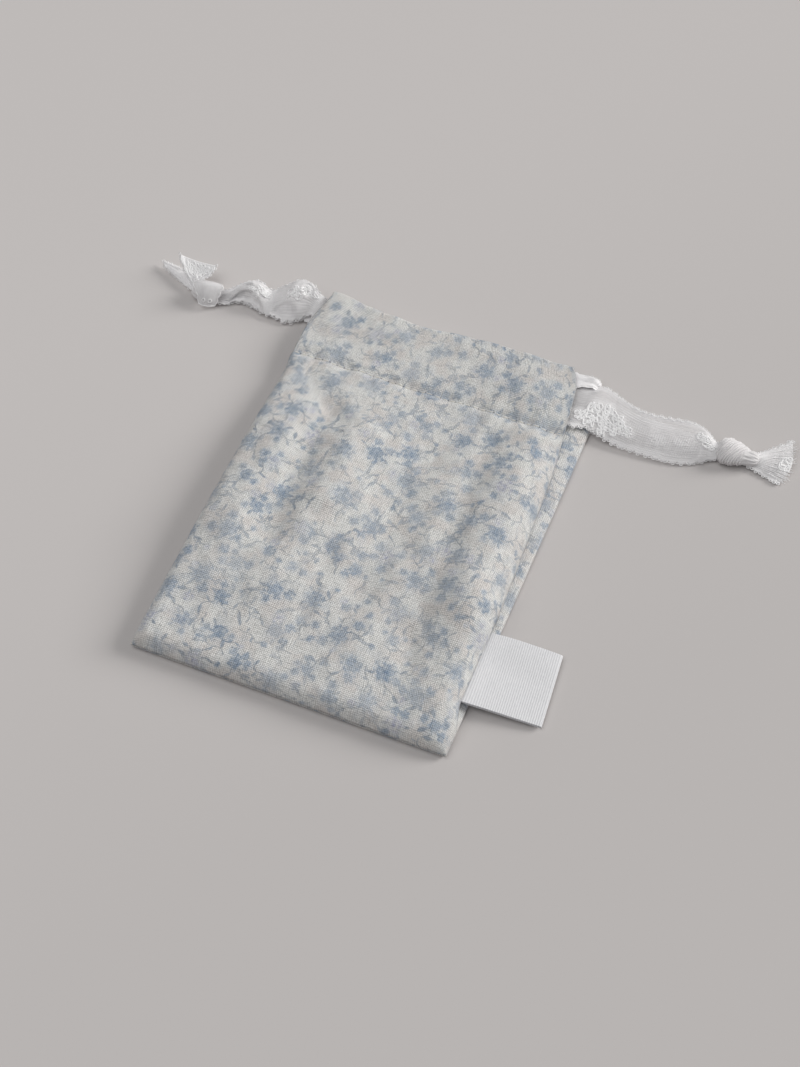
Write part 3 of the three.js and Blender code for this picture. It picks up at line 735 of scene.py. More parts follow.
def foldHeight(x, y, folds):
    total = np.zeros_like(x)
    for (x0, y0), (x1, y1), height, width in folds:
        length2 = (x1 - x0) ** 2 + (y1 - y0) ** 2
        share = ((x - x0) * (x1 - x0) + (y - y0) * (y1 - y0)) / length2
        reach = np.clip(share, 0, 1)
        away = np.hypot(x - x0 - reach * (x1 - x0), y - y0 - reach * (y1 - y0))
        total += height * np.exp(-((away / width) ** 2))
    return total


def inCasing(y):
    return smooth(pouch["slitY"], pouch["stitchY"], y)


def aboveCorner(y):
    return smooth(pouch["bottomY"] + pouch["cornerRise"], pouch["rollStart"], y)


def rightRim(y):
    places, edges = zip(*rightRimLine)
    return np.interp(y, places, edges)


def frontEdges(y):
    half = pouch["half"]
    left = mix(-half + pouch["edgeIn"], -half + pouch["casingIn"], inCasing(y))
    left = left + pouch["cornerIn"] * smooth(pouch["cornerFrom"], foldY, y) ** 1.5
    rolled = smooth(pouch["rollStart"] - 8, pouch["rollStart"] + 1, y)
    return left, mix(half - pouch["edgeIn"], rightRim(y), rolled)


def pucker(x, y, line, away):
    height, scaleX, scaleY, seed, reach = puckers[line]
    return height * ripple(x, y, scaleX, scaleY, seed) * np.exp(-away / reach)


def swells(x, y, places):
    return sum(
        height * bump(x, middleX, reachX) * bump(y, middleY, reachY)
        for middleX, middleY, reachX, reachY, height in places
    )


def frontSurface(across, y):
    left, right = frontEdges(y)
    x = mix(left, right, (across + 1) / 2)
    stitchY = pouch["stitchY"]
    casing = inCasing(y)
    flatter = smooth(stitchY - pouch["shoulder"], stitchY, y)
    crown = mix(pouch["crownZ"] - pouch["crownDrop"], pouch["casingZ"], flatter)
    rim = mix(pouch["rimZ"], pouch["rightRimZ"], smooth(0, 1, across) * aboveCorner(y))
    fromBottom = y - frontLow[1] - pouch["edgeIn"]
    overBottom = np.clip(fromBottom / pouch["bottomRound"], 0, 1)
    quick = pouch["bottomQuick"] * np.sqrt(1 - (1 - overBottom) ** pouch["bottomPower"])
    roundBottom = quick + pouch["bottomRest"] * smooth(0, pouch["bottomSlow"], fromBottom)
    power = np.where(across > 0, pouch["rightPower"], pouch["crownPower"])
    roundSides = np.sqrt(np.maximum(1 - np.abs(across) ** power, 0))
    inside = roundBottom * mix(roundSides, 1, casing)
    z = rim + (crown - rim) * inside
    free = inside * (1 - casing)
    z += pouch["foldGain"] * foldHeight(x, y, frontFolds) * free
    z += ripples(x, y, frontRipples) * free
    z -= sum(depth * bump(y, stitchY, reach) for depth, reach in stitchCreases)
    z += pucker(x, y, "stitches", np.abs(y - stitchY))
    z += pucker(x, y, "right", right - x) * free
    z += pucker(x, y, "left", x - left) * free
    z += pucker(x, y, "bottom", y - pouch["bottomY"]) * free
    z += ripples(x, y, fineRipples) * np.minimum(inside * 3, 1)
    z += casing * swells(x, y, casingSwells)
    z += casing * ripples(x, y, casingRipples)
    z = np.where(y > stitchY + 2, np.maximum(z, pouch["casingZ"] - pouch["casingSag"]), z)
    z += swells(x, y, cornerPeak)
    dip = sum(depth * bump(x, middle, reach) for middle, reach, depth in mouthDips)
    dip = dip + ripples(x, 0 * y, mouthRipples)
    yMoved = y + dip * smooth(stitchY + 3, foldY, y)
    return np.stack([x, yMoved, z], axis=-1)


def acrossColumns():
    s = np.linspace(-1, 1, pouch["columns"])
    return 0.5 * s + 0.5 * np.sin(s * math.pi / 2)


def hemGrid(edgeRow, across, hemZ, closedZ, reach, way):  # folds at the mouth, runs back to the stitches
    rows = []
    for turn in np.linspace(0, math.pi, pouch["foldRows"] + 1)[1:]:
        swing = np.array([0, math.sin(turn), way * (1 - math.cos(turn))]) * pouch["foldRadius"]
        rows.append(edgeRow + swing)
    last = rows[-1]
    endY = pouch["stitchY"] - pouch["hemLap"]
    for share in np.linspace(0, 1, pouch["hemRows"] + 1)[1:]:
        y = mix(last[:, 1], endY, share)
        close = smooth(pouch["stitchY"] + pouch["hemTaper"], pouch["stitchY"], y)
        x = mix(last[:, 0], across * reach, smooth(0, 0.3, share))
        z = mix(mix(last[:, 2], hemZ, smooth(0, 0.4, share)), closedZ, close)
        rows.append(np.stack([x, y, z], axis=-1))
    return np.array(rows)


def stitchRow():  # the line on which the front's casing is sewn
    across = np.linspace(-pouch["sewnShare"], pouch["sewnShare"], 120)
    return frontSurface(across, 0 * across + pouch["stitchY"])


def sewnPlace(grid):  # how far a cloth point is along the stitches, and from them
    row = stitchRow()
    along = np.interp(grid[..., 0], row[:, 0], runLength(row))
    return np.stack([along, grid[..., 1] - pouch["stitchY"], 0 * along], axis=-1)


def buildFront():
    across = acrossColumns()
    rimY = frontLow[1] + pouch["rimIn"]
    roundY = rimY + pouch["bottomRound"] * (1 - np.cos(np.linspace(0, math.pi / 2, pouch["roundRows"])))
    count = round((foldY - roundY[-1]) / pouch["rowStep"])
    y = np.concatenate([roundY, np.linspace(roundY[-1], foldY, count + 1)[1:]])
    gridAcross, gridY = np.meshgrid(across, y)
    panel = frontSurface(gridAcross, gridY)
    closedZ = pouch["casingZ"] - pouch["hemDrop"]
    hem = hemGrid(panel[-1], across, pouch["hemZ"], closedZ, pouch["hemHalf"], -1)
    grid = np.concatenate([panel, hem])
    layers = {**clothLayers(grid, seed=11), "sewn": sewnPlace(grid)}
    piece = clothPiece("frontPanel", grid, cotton["thickness"], layers, cottonFinish)
    ridePiece(piece, "pouch", ["front_panel"])
    return piece


def bendStrip(gone, arc, angle):  # a strip bent through an angle over its arc, then straight on
    angle = np.maximum(angle, 0.01)
    radius = arc / angle
    bent = np.minimum(gone, arc)
    beyond = np.maximum(gone - arc, 0)
    run = radius * np.sin(angle * bent / arc) + beyond * np.cos(angle)
    rise = radius * (1 - np.cos(angle * bent / arc)) + beyond * np.sin(angle)
    return run, rise


# Back: its right side rolls up and over, its other sides turn up a little
wrap = {
    "rim": 1.1, "fold": 0.6, "lap": 1.5, "turned": 6.8, "top": 3.05, "labelTop": 2.45,
    "waver": 0.12, "pucker": 0.1,
    "casingFrom": 42.5, "casingTo": 46.5, "casingIn": 0.3, "hemZ": 2.2, "hemRise": 0.7, "hemHalf": 33.0,
    "rowStep": 0.85, "leftColumns": 7, "flatColumns": 115, "rightColumns": 21,
}


def underLabel(y):  # the wrapped edge is pressed flatter under the label
    low, high = nodeBox("side_label_flap")
    return smooth(high[1] + 5, high[1] + 1, y) * smooth(low[1] - 5, low[1] - 1, y)


def buildBack():
    clothZ = cotton["thickness"] / 2
    leftCount, flatCount, rightCount = (wrap[side + "Columns"] for side in ("left", "flat", "right"))
    left = np.concatenate([np.linspace(1, 0, leftCount), np.zeros(flatCount + rightCount)])[None, :]
    flat = np.linspace(0, 1, flatCount + 1)[1:]
    flat = np.concatenate([np.zeros(leftCount), flat, np.ones(rightCount)])[None, :]
    right = np.linspace(0, 1, rightCount + 1)[1:]
    right = np.concatenate([np.zeros(leftCount + flatCount), right])[None, :]
    rimArc = wrap["rim"] * math.pi / 2
    flatBottom = backLow[1] + clothZ + wrap["rim"]
    bottomRun, bottomRise = bendStrip(np.linspace(rimArc, 0, 8), rimArc, math.pi / 2)
    count = round((foldY - flatBottom) / wrap["rowStep"])
    y = np.concatenate([flatBottom - bottomRun, np.linspace(flatBottom, foldY, count + 1)[1:]])
    rise = np.concatenate([bottomRise, np.zeros(count)])[:, None]
    y = y[:, None]
    casing, corner = smooth(wrap["casingFrom"], wrap["casingTo"], y), aboveCorner(y)
    pressed = underLabel(y)
    radius = mix(wrap["rim"], wrap["fold"], corner) * (1 + wrap["waver"] * ripple(0 * y, y, 1, 6.5, 21))
    slope = pouch["half"] - rightRim(y) + wrap["lap"]
    top = mix(wrap["top"], wrap["labelTop"], pressed)
    angle = mix(math.pi / 2, math.pi - np.arcsin((top - 2 * wrap["fold"]) / slope), corner)
    arc = radius * angle
    length = arc + wrap["turned"] * corner**2 * (1 - casing) ** 2
    flatLeft = mix(-pouch["half"] + clothZ + wrap["rim"], -pouch["half"] + rimArc, casing)
    flatRight = mix(pouch["half"] - clothZ - radius, rightRim(y) - wrap["casingIn"] - length, casing)
    leftRun, leftRise = bendStrip(left * rimArc, rimArc, (math.pi / 2) * (1 - casing))
    rightRun, rightRise = bendStrip(right * length, arc, angle * (1 - casing))
    rightRise = np.minimum(rightRise, top)
    x = mix(flatLeft, flatRight, flat) - leftRun + rightRun
    z = clothZ + (leftRise**4 + rightRise**4 + rise**4) ** 0.25
    y = y + 0 * x
    z += wrap["pucker"] * np.abs(ripple(x, y, 9, 3, 22)) * right * (1 - casing)
    panel = np.stack([x, y, z], axis=-1)
    across = panel[-1, :, 0] / pouch["half"]
    hem = hemGrid(panel[-1], across, wrap["hemZ"], clothZ + wrap["hemRise"], wrap["hemHalf"], 1)
    grid = np.concatenate([panel, hem])
    piece = clothPiece("backPanel", grid, cotton["thickness"], clothLayers(grid, seed=12), cottonFinish)
    ridePiece(piece, "pouch", ["back_panel"])
    return piece


frontPanel = buildFront()
backPanel = buildBack()
print("panels built")


# Geometry Nodes: each tree turns a line of points into a row of pieces

def nodesTree(name, inputs):
    sockets = [("Path", "NodeSocketGeometry", None), *inputs, ("Finish", "NodeSocketMaterial", None)]
    return nodeGroup(name, "GeometryNodeTree", sockets, [("Pieces", "NodeSocketGeometry")])


def finishTree(tree, geometry, finish, out):
    real = addNode(tree, "GeometryNodeRealizeInstances", {0: geometry}).outputs[0]
    smoothed = addNode(tree, "GeometryNodeSetShadeSmooth", {"Geometry": real}).outputs[0]
    dressed = addNode(tree, "GeometryNodeSetMaterial", {"Geometry": smoothed, "Material": finish})
    tree.links.new(dressed.outputs[0], out["Pieces"])
    return tree


def cordTree():  # a round cord along every line
    tree, feed, out = nodesTree("cordAlong", [("Radius", "NodeSocketFloat", 0.0002)])
    line = addNode(tree, "GeometryNodeMeshToCurve", {0: feed["Path"]}).outputs[0]
    ring = addNode(tree, "GeometryNodeCurvePrimitiveCircle", {"Resolution": 6, "Radius": feed["Radius"]})
    feeds = {"Curve": line, "Profile Curve": ring.outputs[0], "Fill Caps": True}
    tube = addNode(tree, "GeometryNodeCurveToMesh", feeds).outputs[0]
    return finishTree(tree, tube, feed["Finish"], out)


def alongPath(tree, path, pitch):  # even points on the lines, with X turned along them
    line = addNode(tree, "GeometryNodeMeshToCurve", {0: path}).outputs[0]
    feeds = {"Curve": line, "Length": pitch}
    spots = addNode(tree, "GeometryNodeCurveToPoints", feeds, mode="LENGTH").outputs
    facing = addNode(tree, "FunctionNodeAlignEulerToVector", {"Vector": spots["Tangent"]}, axis="X")
    return spots["Points"], facing.outputs[0]


def stitchTree():  # short thread stitches, plump in the middle
    tree, feed, out = nodesTree("stitchRow", [
        ("Pitch", "NodeSocketFloat", 0.003), ("Length", "NodeSocketFloat", 0.002),
        ("Radius", "NodeSocketFloat", 0.0002),
    ])
    spots, facing = alongPath(tree, feed["Path"], feed["Pitch"])
    ball = addNode(tree, "GeometryNodeMeshUVSphere", {"Segments": 8, "Rings": 6, "Radius": 1.0}).outputs[0]
    half = calc(tree, "MULTIPLY", feed["Length"], 0.5)
    size = addNode(tree, "ShaderNodeCombineXYZ", {0: half, 1: feed["Radius"], 2: feed["Radius"]}).outputs[0]
    feeds = {"Points": spots, "Instance": ball, "Rotation": facing, "Scale": size}
    row = addNode(tree, "GeometryNodeInstanceOnPoints", feeds).outputs[0]
    return finishTree(tree, row, feed["Finish"], out)


def picotTree():  # small thread loops that stand out from a lace edge
    tree, feed, out = nodesTree("picotRow", [
        ("Pitch", "NodeSocketFloat", 0.0012), ("Size", "NodeSocketFloat", 0.0005),
        ("Radius", "NodeSocketFloat", 0.0001),
    ])
    spots, facing = alongPath(tree, feed["Path"], feed["Pitch"])
    loop = addNode(tree, "GeometryNodeCurvePrimitiveCircle", {"Resolution": 9, "Radius": feed["Size"]})
    thread = addNode(tree, "GeometryNodeCurvePrimitiveCircle", {"Resolution": 4, "Radius": feed["Radius"]})
    feeds = {"Curve": loop.outputs[0], "Profile Curve": thread.outputs[0]}
    picot = addNode(tree, "GeometryNodeCurveToMesh", feeds).outputs[0]
    feeds = {"Points": spots, "Instance": picot, "Rotation": facing}
    row = addNode(tree, "GeometryNodeInstanceOnPoints", feeds).outputs[0]
    return finishTree(tree, row, feed["Finish"], out)


def budTree():  # dried buds scattered over a surface, each turned its own way
    tree, feed, out = nodesTree("budHeap", [
        ("Density", "NodeSocketFloat", 100000.0), ("Length", "NodeSocketFloat", 0.002),
        ("Seed", "NodeSocketInt", 5),
    ])
    feeds = {"Mesh": feed["Path"], "Density": feed["Density"], "Seed": feed["Seed"]}
    spots = addNode(tree, "GeometryNodeDistributePointsOnFaces", feeds).outputs["Points"]
    ball = addNode(tree, "GeometryNodeMeshUVSphere", {"Segments": 6, "Rings": 5, "Radius": 0.5}).outputs[0]
    feeds = {"Max": (0.8, 0.8, math.tau), "Seed": feed["Seed"]}
    turn = addNode(tree, "FunctionNodeRandomValue", feeds, data_type="FLOAT_VECTOR").outputs[0]
    girth = calc(tree, "MULTIPLY", feed["Length"], 0.45)
    size = addNode(tree, "ShaderNodeCombineXYZ", {0: feed["Length"], 1: girth, 2: girth}).outputs[0]
    feeds = {"Points": spots, "Instance": ball, "Rotation": turn, "Scale": size}
    heap = addNode(tree, "GeometryNodeInstanceOnPoints", feeds).outputs[0]
    return finishTree(tree, heap, feed["Finish"], out)


trees = {"cord": cordTree(), "stitch": stitchTree(), "picot": picotTree(), "bud": budTree()}


def runNodes(name, carrier, tree, values):  # the tree's result on a carrier mesh, as a plain mesh
    holder = addObject(name + "Carrier", carrier, None)
    modifier = holder.modifiers.new("nodes", "NODES")
    modifier.node_group = tree
    for item in tree.interface.items_tree:
        if item.in_out == "INPUT" and item.name in values:
            modifier[item.identifier] = values[item.name]
    return addObject(name, plainMesh(holder, name), None)


def linesMesh(name, lines):  # a carrier with one chain of edges for each line
    points, edges = [], []
    for line in lines:
        start = len(points)
        points.extend((np.asarray(line) * mm).tolist())
        edges.extend((start + k, start + k + 1) for k in range(len(line) - 1))
    mesh = bpy.data.meshes.new(name)
    mesh.from_pydata(points, edges, [])
    return mesh


# Sewing thread

sewing = {
    "casingPitch": cotton["needlePitch"], "casingLength": 1.5, "casingRadius": 0.15,
    "seamPitch": 2.2, "seamLength": 1.5, "seamRadius": 0.16, "proud": 0.03, "backZ": 1.12, "seamIn": 1.4,
    "shade": linear(216, 212, 204), "white": linear(240, 237, 230),
}


def threadMaterial(s):
    material, tree, shader = newMaterial("sewingThread", roughness=0.7, specular=0.3, sheen=0.2)
    twist = noiseValue(tree, objectPlace(tree), 4000.0, 2.0)
    tint = blendColour(tree, twist, s["shade"], s["white"])
    tree.links.new(tint, shader.inputs["Base Color"])
    bumpInto(tree, shader, twist, strength=0.4, distance=0.00005)
    return material


threadFinish = threadMaterial(sewing)


def stitchPiece(name, line, node, kind):
    values = {
        "Pitch": sewing[kind + "Pitch"] * mm, "Length": sewing[kind + "Length"] * mm,
        "Radius": sewing[kind + "Radius"] * mm, "Finish": threadFinish,
    }
    piece = runNodes(name, linesMesh(name, [line]), trees["stitch"], values)
    return ridePiece(piece, "pouch", [node])


def buildStitches():
    row = stitchRow()
    row[:, 2] += cotton["thickness"] / 2 + sewing["proud"]
    front = stitchPiece("frontCasingStitches", row, "front_casing_stitches", "casing")
    low, high = nodeBox("back_casing_stitches")
    ends = [(x, pouch["stitchY"], sewing["backZ"]) for x in (low[0], high[0])]
    inside = np.linspace(*ends, 60)
    back = stitchPiece("backCasingStitches", inside, "back_casing_stitches", "casing")
    seams = []
    for side in ("left", "bottom", "right"):
        node = side + "_seam_thread"
        low, high = nodeBox(node)
        middle = (low + high) / 2
        start, end = middle.copy(), middle.copy()
        run = int(np.argmax(high - low))
        start[run], end[run] = low[run], high[run]
        line = np.linspace(start, end, 60)
        if side == "right":
            line[:, 0] = np.minimum(line[:, 0], rightRim(line[:, 1]) - sewing["seamIn"])
        seams.append(stitchPiece(side + "SeamStitches", line, node, "seam"))
    return front, back, seams


frontStitches, backStitches, seamStitches = buildStitches()
print("stitches sewn")


# Lace ties

ties = {"left_tie": -1, "right_tie": 1}  # the side to which each comes out
lace = {
    "width": 13, "thickness": 0.2, "step": 0.36, "columns": 46, "scallop": 0.75, "scallopPitch": 2.3,
    "pleatPitch": 0.85, "pleatHeight": 0.2, "pleatDrift": 1.6, "crumple": 0.16, "gatherFrom": 1.08,
    "rest": 0.05, "leftRunIn": 4, "rightRunIn": 1, "runNear": 0.6, "runFar": 2.2,
    "white": linear(254, 253, 254), "shade": linear(246, 244, 246),
    "cordShade": linear(247, 246, 248), "cordWhite": linear(254, 254, 254),
    "knotShade": linear(216, 214, 215), "knotWhite": linear(232, 230, 231),
    "cord": 0.18, "picotPitch": 1.15, "picotSize": 0.4, "picotThread": 0.12, "picotOut": 0.1,
    "picotFrom": 3, "picotBack": 2,
    # how closely the net covers: its threads, ribs, streaks, far half, and the least; then its firm edges
    "netPitch": 0.6, "ribPitch": 0.62, "netCover": 0.14, "ribCover": 0.16, "streakCover": 0.22,
    "farCover": 0.14, "leastCover": 0.02, "edgeCover": 0.55, "edgeReach": (4.6, 6.5), "workCover": 0.5,
    "close": {"left_tie_front": 0.46, "left_tie_back": 0.5, "right_tie_front": 0, "right_tie_back": 0},
}


def laceNet(tree, place, s):  # net, lengthwise threads and firm edges; place is along, across, firmness
    local = axes(tree, place)
    drift = noiseValue(tree, stretch(tree, place, 0.35, 0.8, 0), 1.0)
    aside = calc(tree, "MULTIPLY_ADD", drift, 1.1, local[1])

    def wave(value, pitch):
        return calc(tree, "ABSOLUTE", calc(tree, "SINE", calc(tree, "MULTIPLY", value, math.pi / pitch)))

    def threadLine(value):  # 1 on a thread, 0 between threads
        return ramp(tree, wave(value, s["netPitch"]), 0.7, 0.2)

    mesh = calc(tree, "MAXIMUM", threadLine(calc(tree, "ADD", local[0], aside)),
                threadLine(calc(tree, "SUBTRACT", local[0], aside)))
    ribs = ramp(tree, wave(aside, s["ribPitch"]), 0.55, 1.0)
    streak = noiseValue(tree, stretch(tree, place, 0.12, 2.6, 0), 1.0, 3.0)
    edge = ramp(tree, calc(tree, "ABSOLUTE", local[1]), *s["edgeReach"])
    ground = calc(tree, "MULTIPLY_ADD", ribs, s["ribCover"], s["leastCover"])
    ground = calc(tree, "MULTIPLY_ADD", mesh, s["netCover"], ground)
    ground = calc(tree, "MULTIPLY_ADD", ramp(tree, local[1], -1.0, 5.0), s["farCover"], ground)
    ground = calc(tree, "MULTIPLY_ADD", streak, s["streakCover"], ground)
    firm = calc(tree, "MAXIMUM", calc(tree, "MULTIPLY", edge, s["edgeCover"]), local[2])
    height = calc(tree, "MULTIPLY_ADD", streak, 0.8, calc(tree, "MULTIPLY_ADD", ribs, 0.14, mesh))
    bare = calc(tree, "MULTIPLY", calc(tree, "SUBTRACT", 1.0, ground), calc(tree, "SUBTRACT", 1.0, firm))
    return calc(tree, "SUBTRACT", 1.0, bare), height


def laceMaterials(s):
    material, tree, shader = newMaterial("whiteLace", roughness=0.62, specular=0.25, sheen=0.1)
    opaque, height = laceNet(tree, attributeVector(tree, "lace"), s)
    # painted shade: the low parts of the net, ribs and streaks are tinted darker and the high ones white,
    # with uneven thread tone from the streaks
    tint = blendColour(tree, ramp(tree, height, 0.2, 1.1), s["shade"], s["white"])
    tree.links.new(tint, shader.inputs["Base Color"])
    bumpInto(tree, shader, height, strength=0.35, distance=0.00006)
    tree.links.new(opaque, shader.inputs["Alpha"])

    finishes = [material]
    for part in ("cord", "knot"):
        name = "lace" + part.capitalize()
        material, tree, shader = newMaterial(name, roughness=0.55, specular=0.3, sheen=0.1)
        twist = noiseValue(tree, objectPlace(tree), 2600.0, 2.0)
        tint = blendColour(tree, twist, s[part + "Shade"], s[part + "White"])
        tree.links.new(tint, shader.inputs["Base Color"])
        bumpInto(tree, shader, twist, strength=0.35, distance=0.00006)
        finishes.append(material)
    return finishes


laceFinish, cordFinish, knotFinish = laceMaterials(lace)

# Free lace of each strand: near edge, middle and far edge at each place, in millimetres
freeLace = {
    "right_tie_front": [
        ((39.6, 43.0, 2.9), (39.8, 49.2, 4.1), (40.0, 55.6, 3.9)),
        ((46.2, 41.8, 1.6), (46.5, 47.4, 3.9), (46.9, 52.2, 4.9)),
        ((52.5, 41.5, 1.2), (52.6, 46.4, 3.5), (52.5, 50.8, 5.1)),
        ((58.4, 41.7, 1.0), (58.5, 46.8, 3.3), (58.5, 51.4, 5.0)),
        ((63.6, 42.3, 0.9), (64.0, 47.5, 3.5), (64.1, 52.2, 5.0)),
        ((68.3, 44.2, 0.9), (68.5, 48.4, 3.8), (68.3, 51.6, 4.6)),
        ((71.8, 46.4, 1.2), (71.8, 48.6, 3.0), (71.8, 50.4, 2.8)),
        ((77.0, 48.2, 1.6), (77.0, 49.4, 2.4), (77.0, 50.6, 2.2)),
        ((81.6, 47.6, 1.0), (81.8, 49.6, 2.2), (82.0, 51.4, 2.2)),
        ((86.0, 46.6, 0.6), (86.4, 50.2, 1.7), (86.0, 54.4, 2.4)),
        ((89.6, 45.7, 0.4), (91.0, 51.0, 1.2), (89.6, 57.6, 2.8)),
    ],
    "right_tie_back": [
        ((41.0, 43.4, 0.9), (41.0, 48.0, 1.0), (41.0, 53.6, 1.2)),
        ((47.0, 43.0, 0.5), (47.0, 47.0, 0.7), (47.0, 52.4, 1.1)),
        ((58.0, 43.4, 0.5), (58.0, 47.2, 0.7), (58.0, 52.0, 0.9)),
        ((66.0, 45.0, 0.5), (66.0, 48.2, 0.8), (66.0, 51.6, 1.0)),
        ((71.8, 46.9, 0.8), (71.8, 48.4, 1.2), (71.8, 49.8, 1.2)),
        ((77.0, 48.4, 1.0), (77.0, 49.4, 1.5), (77.0, 50.4, 1.3)),
        ((81.6, 48.0, 0.7), (81.8, 49.6, 1.2), (82.0, 51.0, 1.1)),
        ((86.0, 47.2, 0.4), (86.2, 50.2, 0.7), (86.0, 53.4, 0.9)),
        ((88.6, 46.6, 0.3), (89.6, 50.8, 0.5), (88.8, 55.8, 0.8)),
    ],
    "left_tie_front": [
        ((-37.6, 47.8, 3.6), (-37.6, 52.0, 4.3), (-37.6, 55.8, 4.2)),
        ((-41.6, 51.4, 2.8), (-41.2, 54.4, 5.0), (-40.8, 56.6, 5.6)),
        ((-44.5, 49.8, 1.6), (-44.4, 55.2, 6.2), (-43.8, 58.2, 6.6)),
        ((-47.8, 48.1, 1.5), (-48.0, 54.6, 6.2), (-47.3, 58.8, 6.2)),
        ((-50.4, 48.4, 1.6), (-50.6, 53.4, 4.4), (-50.2, 57.0, 5.0)),
        ((-52.6, 48.2, 1.6), (-53.4, 51.6, 3.2), (-54.0, 54.4, 3.6)),
        ((-55.2, 48.6, 1.6), (-56.0, 51.6, 4.6), (-57.0, 54.8, 5.2)),
        ((-59.2, 50.0, 1.6), (-59.4, 52.2, 5.0), (-59.6, 54.4, 5.2)),
        ((-62.3, 49.5, 1.4), (-62.6, 51.2, 4.0), (-62.6, 52.6, 4.2)),
        ((-65.4, 48.6, 0.9), (-65.5, 49.4, 2.6), (-65.8, 50.6, 2.8)),
        ((-70.5, 48.0, 1.6), (-70.5, 49.0, 2.6), (-70.5, 50.0, 2.4)),
        ((-75.4, 49.8, 2.6), (-74.4, 50.4, 3.2), (-73.2, 50.8, 3.4)),
        ((-79.3, 53.0, 3.7), (-75.7, 53.1, 3.6), (-71.8, 53.0, 4.3)),
        ((-81.9, 56.0, 5.1), (-76.5, 56.0, 4.5), (-71.3, 55.8, 5.2)),
    ],
    "left_tie_back": [
        ((-43.0, 50.6, 0.9), (-43.0, 53.0, 1.4), (-43.0, 56.0, 1.8)),
        ((-49.0, 49.6, 0.5), (-49.0, 51.8, 0.8), (-49.0, 55.6, 1.2)),
        ((-57.0, 49.6, 0.5), (-57.0, 51.4, 0.7), (-57.0, 54.0, 0.9)),
        ((-62.0, 50.0, 0.5), (-62.0, 51.0, 0.9), (-62.0, 52.4, 1.0)),
        ((-65.6, 47.6, 0.7), (-65.6, 48.9, 1.1), (-65.6, 50.0, 1.1)),
        ((-70.5, 48.0, 0.9), (-70.5, 49.0, 1.4), (-70.5, 50.0, 1.2)),
        ((-75.8, 49.0, 0.9), (-75.8, 50.4, 1.5), (-75.6, 51.6, 1.7)),
        ((-80.8, 51.2, 0.8), (-80.8, 52.6, 1.4), (-80.7, 54.0, 1.6)),
        ((-86.0, 53.4, 1.3), (-86.4, 54.1, 1.5), (-86.8, 54.8, 1.6)),
    ],
}


def runStations(node, outer):  # the flat run in the casing, from its inner end to its outer one
    low, high = nodeBox(node)
    z = (low[2] + high[2]) / 2
    right, left = (low[0], high[0] - lace["rightRunIn"]), (high[0], low[0] + lace["leftRunIn"])
    ends = right if outer > 0 else left
    places = mix(ends[1], ends[0], np.array((1, 0.62, 0.33, 0.15, 0.05, 0)))  # closer towards the mouth
    lowY, highY = low[1] + lace["runNear"], min(high[1], foldY - lace["runFar"])
    return [((x, lowY, z), (x, (lowY + highY) / 2, z), (x, highY, z)) for x in places]


# Scoops pressed into the gathered lace: along x, across, their reach both ways, and depth
scoops = {
    "left_tie_front": [
        (-59.6, -6.5, 4.6, 5.4, 0.75), (-48.6, -6.5, 3.4, 3.6, 0.4), (-44.0, 2.0, 1.8, 3.0, 0.4),
    ],
}


def laceGrid(stations, s, dents=()):
    rails = [through([station[k] for station in stations], 1600) for k in range(3)]
    gone = runLength(rails[1])
    count = round(gone[-1] / s["step"])
    even = np.linspace(0, gone[-1], count)
    near, middle, far = (
        np.stack([np.interp(even, gone, rail[:, axis]) for axis in range(3)], axis=-1)[:, None, :]
        for rail in rails
    )
    along = even[:, None]
    q = np.linspace(0, 1, s["columns"])[None, :] + 0 * along
    outward = smooth(0.36, 0.5, np.abs(q - 0.5)) * s["scallop"] / s["width"]
    q = q + np.sign(q - 0.5) * outward * np.abs(np.sin(math.pi * along / s["scallopPitch"]))
    share = q[..., None]
    grid = (
        near * (1 - share) * (1 - 2 * share)
        + middle * 4 * share * (1 - share)
        + far * share * (2 * share - 1)
    )
    width = np.linalg.norm(np.diff(grid, axis=1), axis=2).sum(axis=1)
    gather = np.clip(s["gatherFrom"] - width / s["width"], 0, 1)[:, None]
    aside = (q - 0.5) * s["width"]
    drift = s["pleatDrift"] * ripple(along + 0 * q, aside, 5, 6, 31)
    pleat = gather * s["pleatHeight"] * np.cos(math.tau * aside / s["pleatPitch"] + drift)
    pleat += s["crumple"] * ripple(along + 0 * q, aside, 3, 9, 32) * np.minimum(gather * 4, 1)
    normal = gridNormals(grid)
    normal *= np.sign(normal[..., 2:3] + 1e-6)
    for x, across, reachX, reachAcross, depth in dents:
        away = np.hypot((grid[..., 0] - x) / reachX, (aside - across) / reachAcross)
        pleat = pleat - depth * smooth(1.05, 0.8, away) + 0.3 * depth * bump(away, 1.12, 0.14)
    grid = grid + normal * (pleat * smooth(-0.02, 0.1, q) * smooth(1, 0.88, q))[..., None]
    grid[..., 2] = np.maximum(grid[..., 2], s["thickness"] / 2 + s["rest"])
    layers = {"lace": np.stack([along + 0 * q, aside, smooth(0.2, 0.7, gather) + 0 * q], axis=-1)}
    return grid, normal, layers


def onLace(grid, normal, place, aside, s, lift):  # a point of the flat lace, moved to where it lies
    row = np.clip(np.asarray(place) / s["step"], 0, len(grid) - 1.001)
    column = np.clip((np.asarray(aside) / s["width"] + 0.5) * (s["columns"] - 1), 0, s["columns"] - 1.001)
    r, c = row.astype(int), column.astype(int)
    fr, fc = (row - r)[:, None], (column - c)[:, None]
    lifted = grid + normal * lift
    top = mix(lifted[r, c], lifted[r, c + 1], fc)
    return mix(top, mix(lifted[r + 1, c], lifted[r + 1, c + 1], fc), fr)


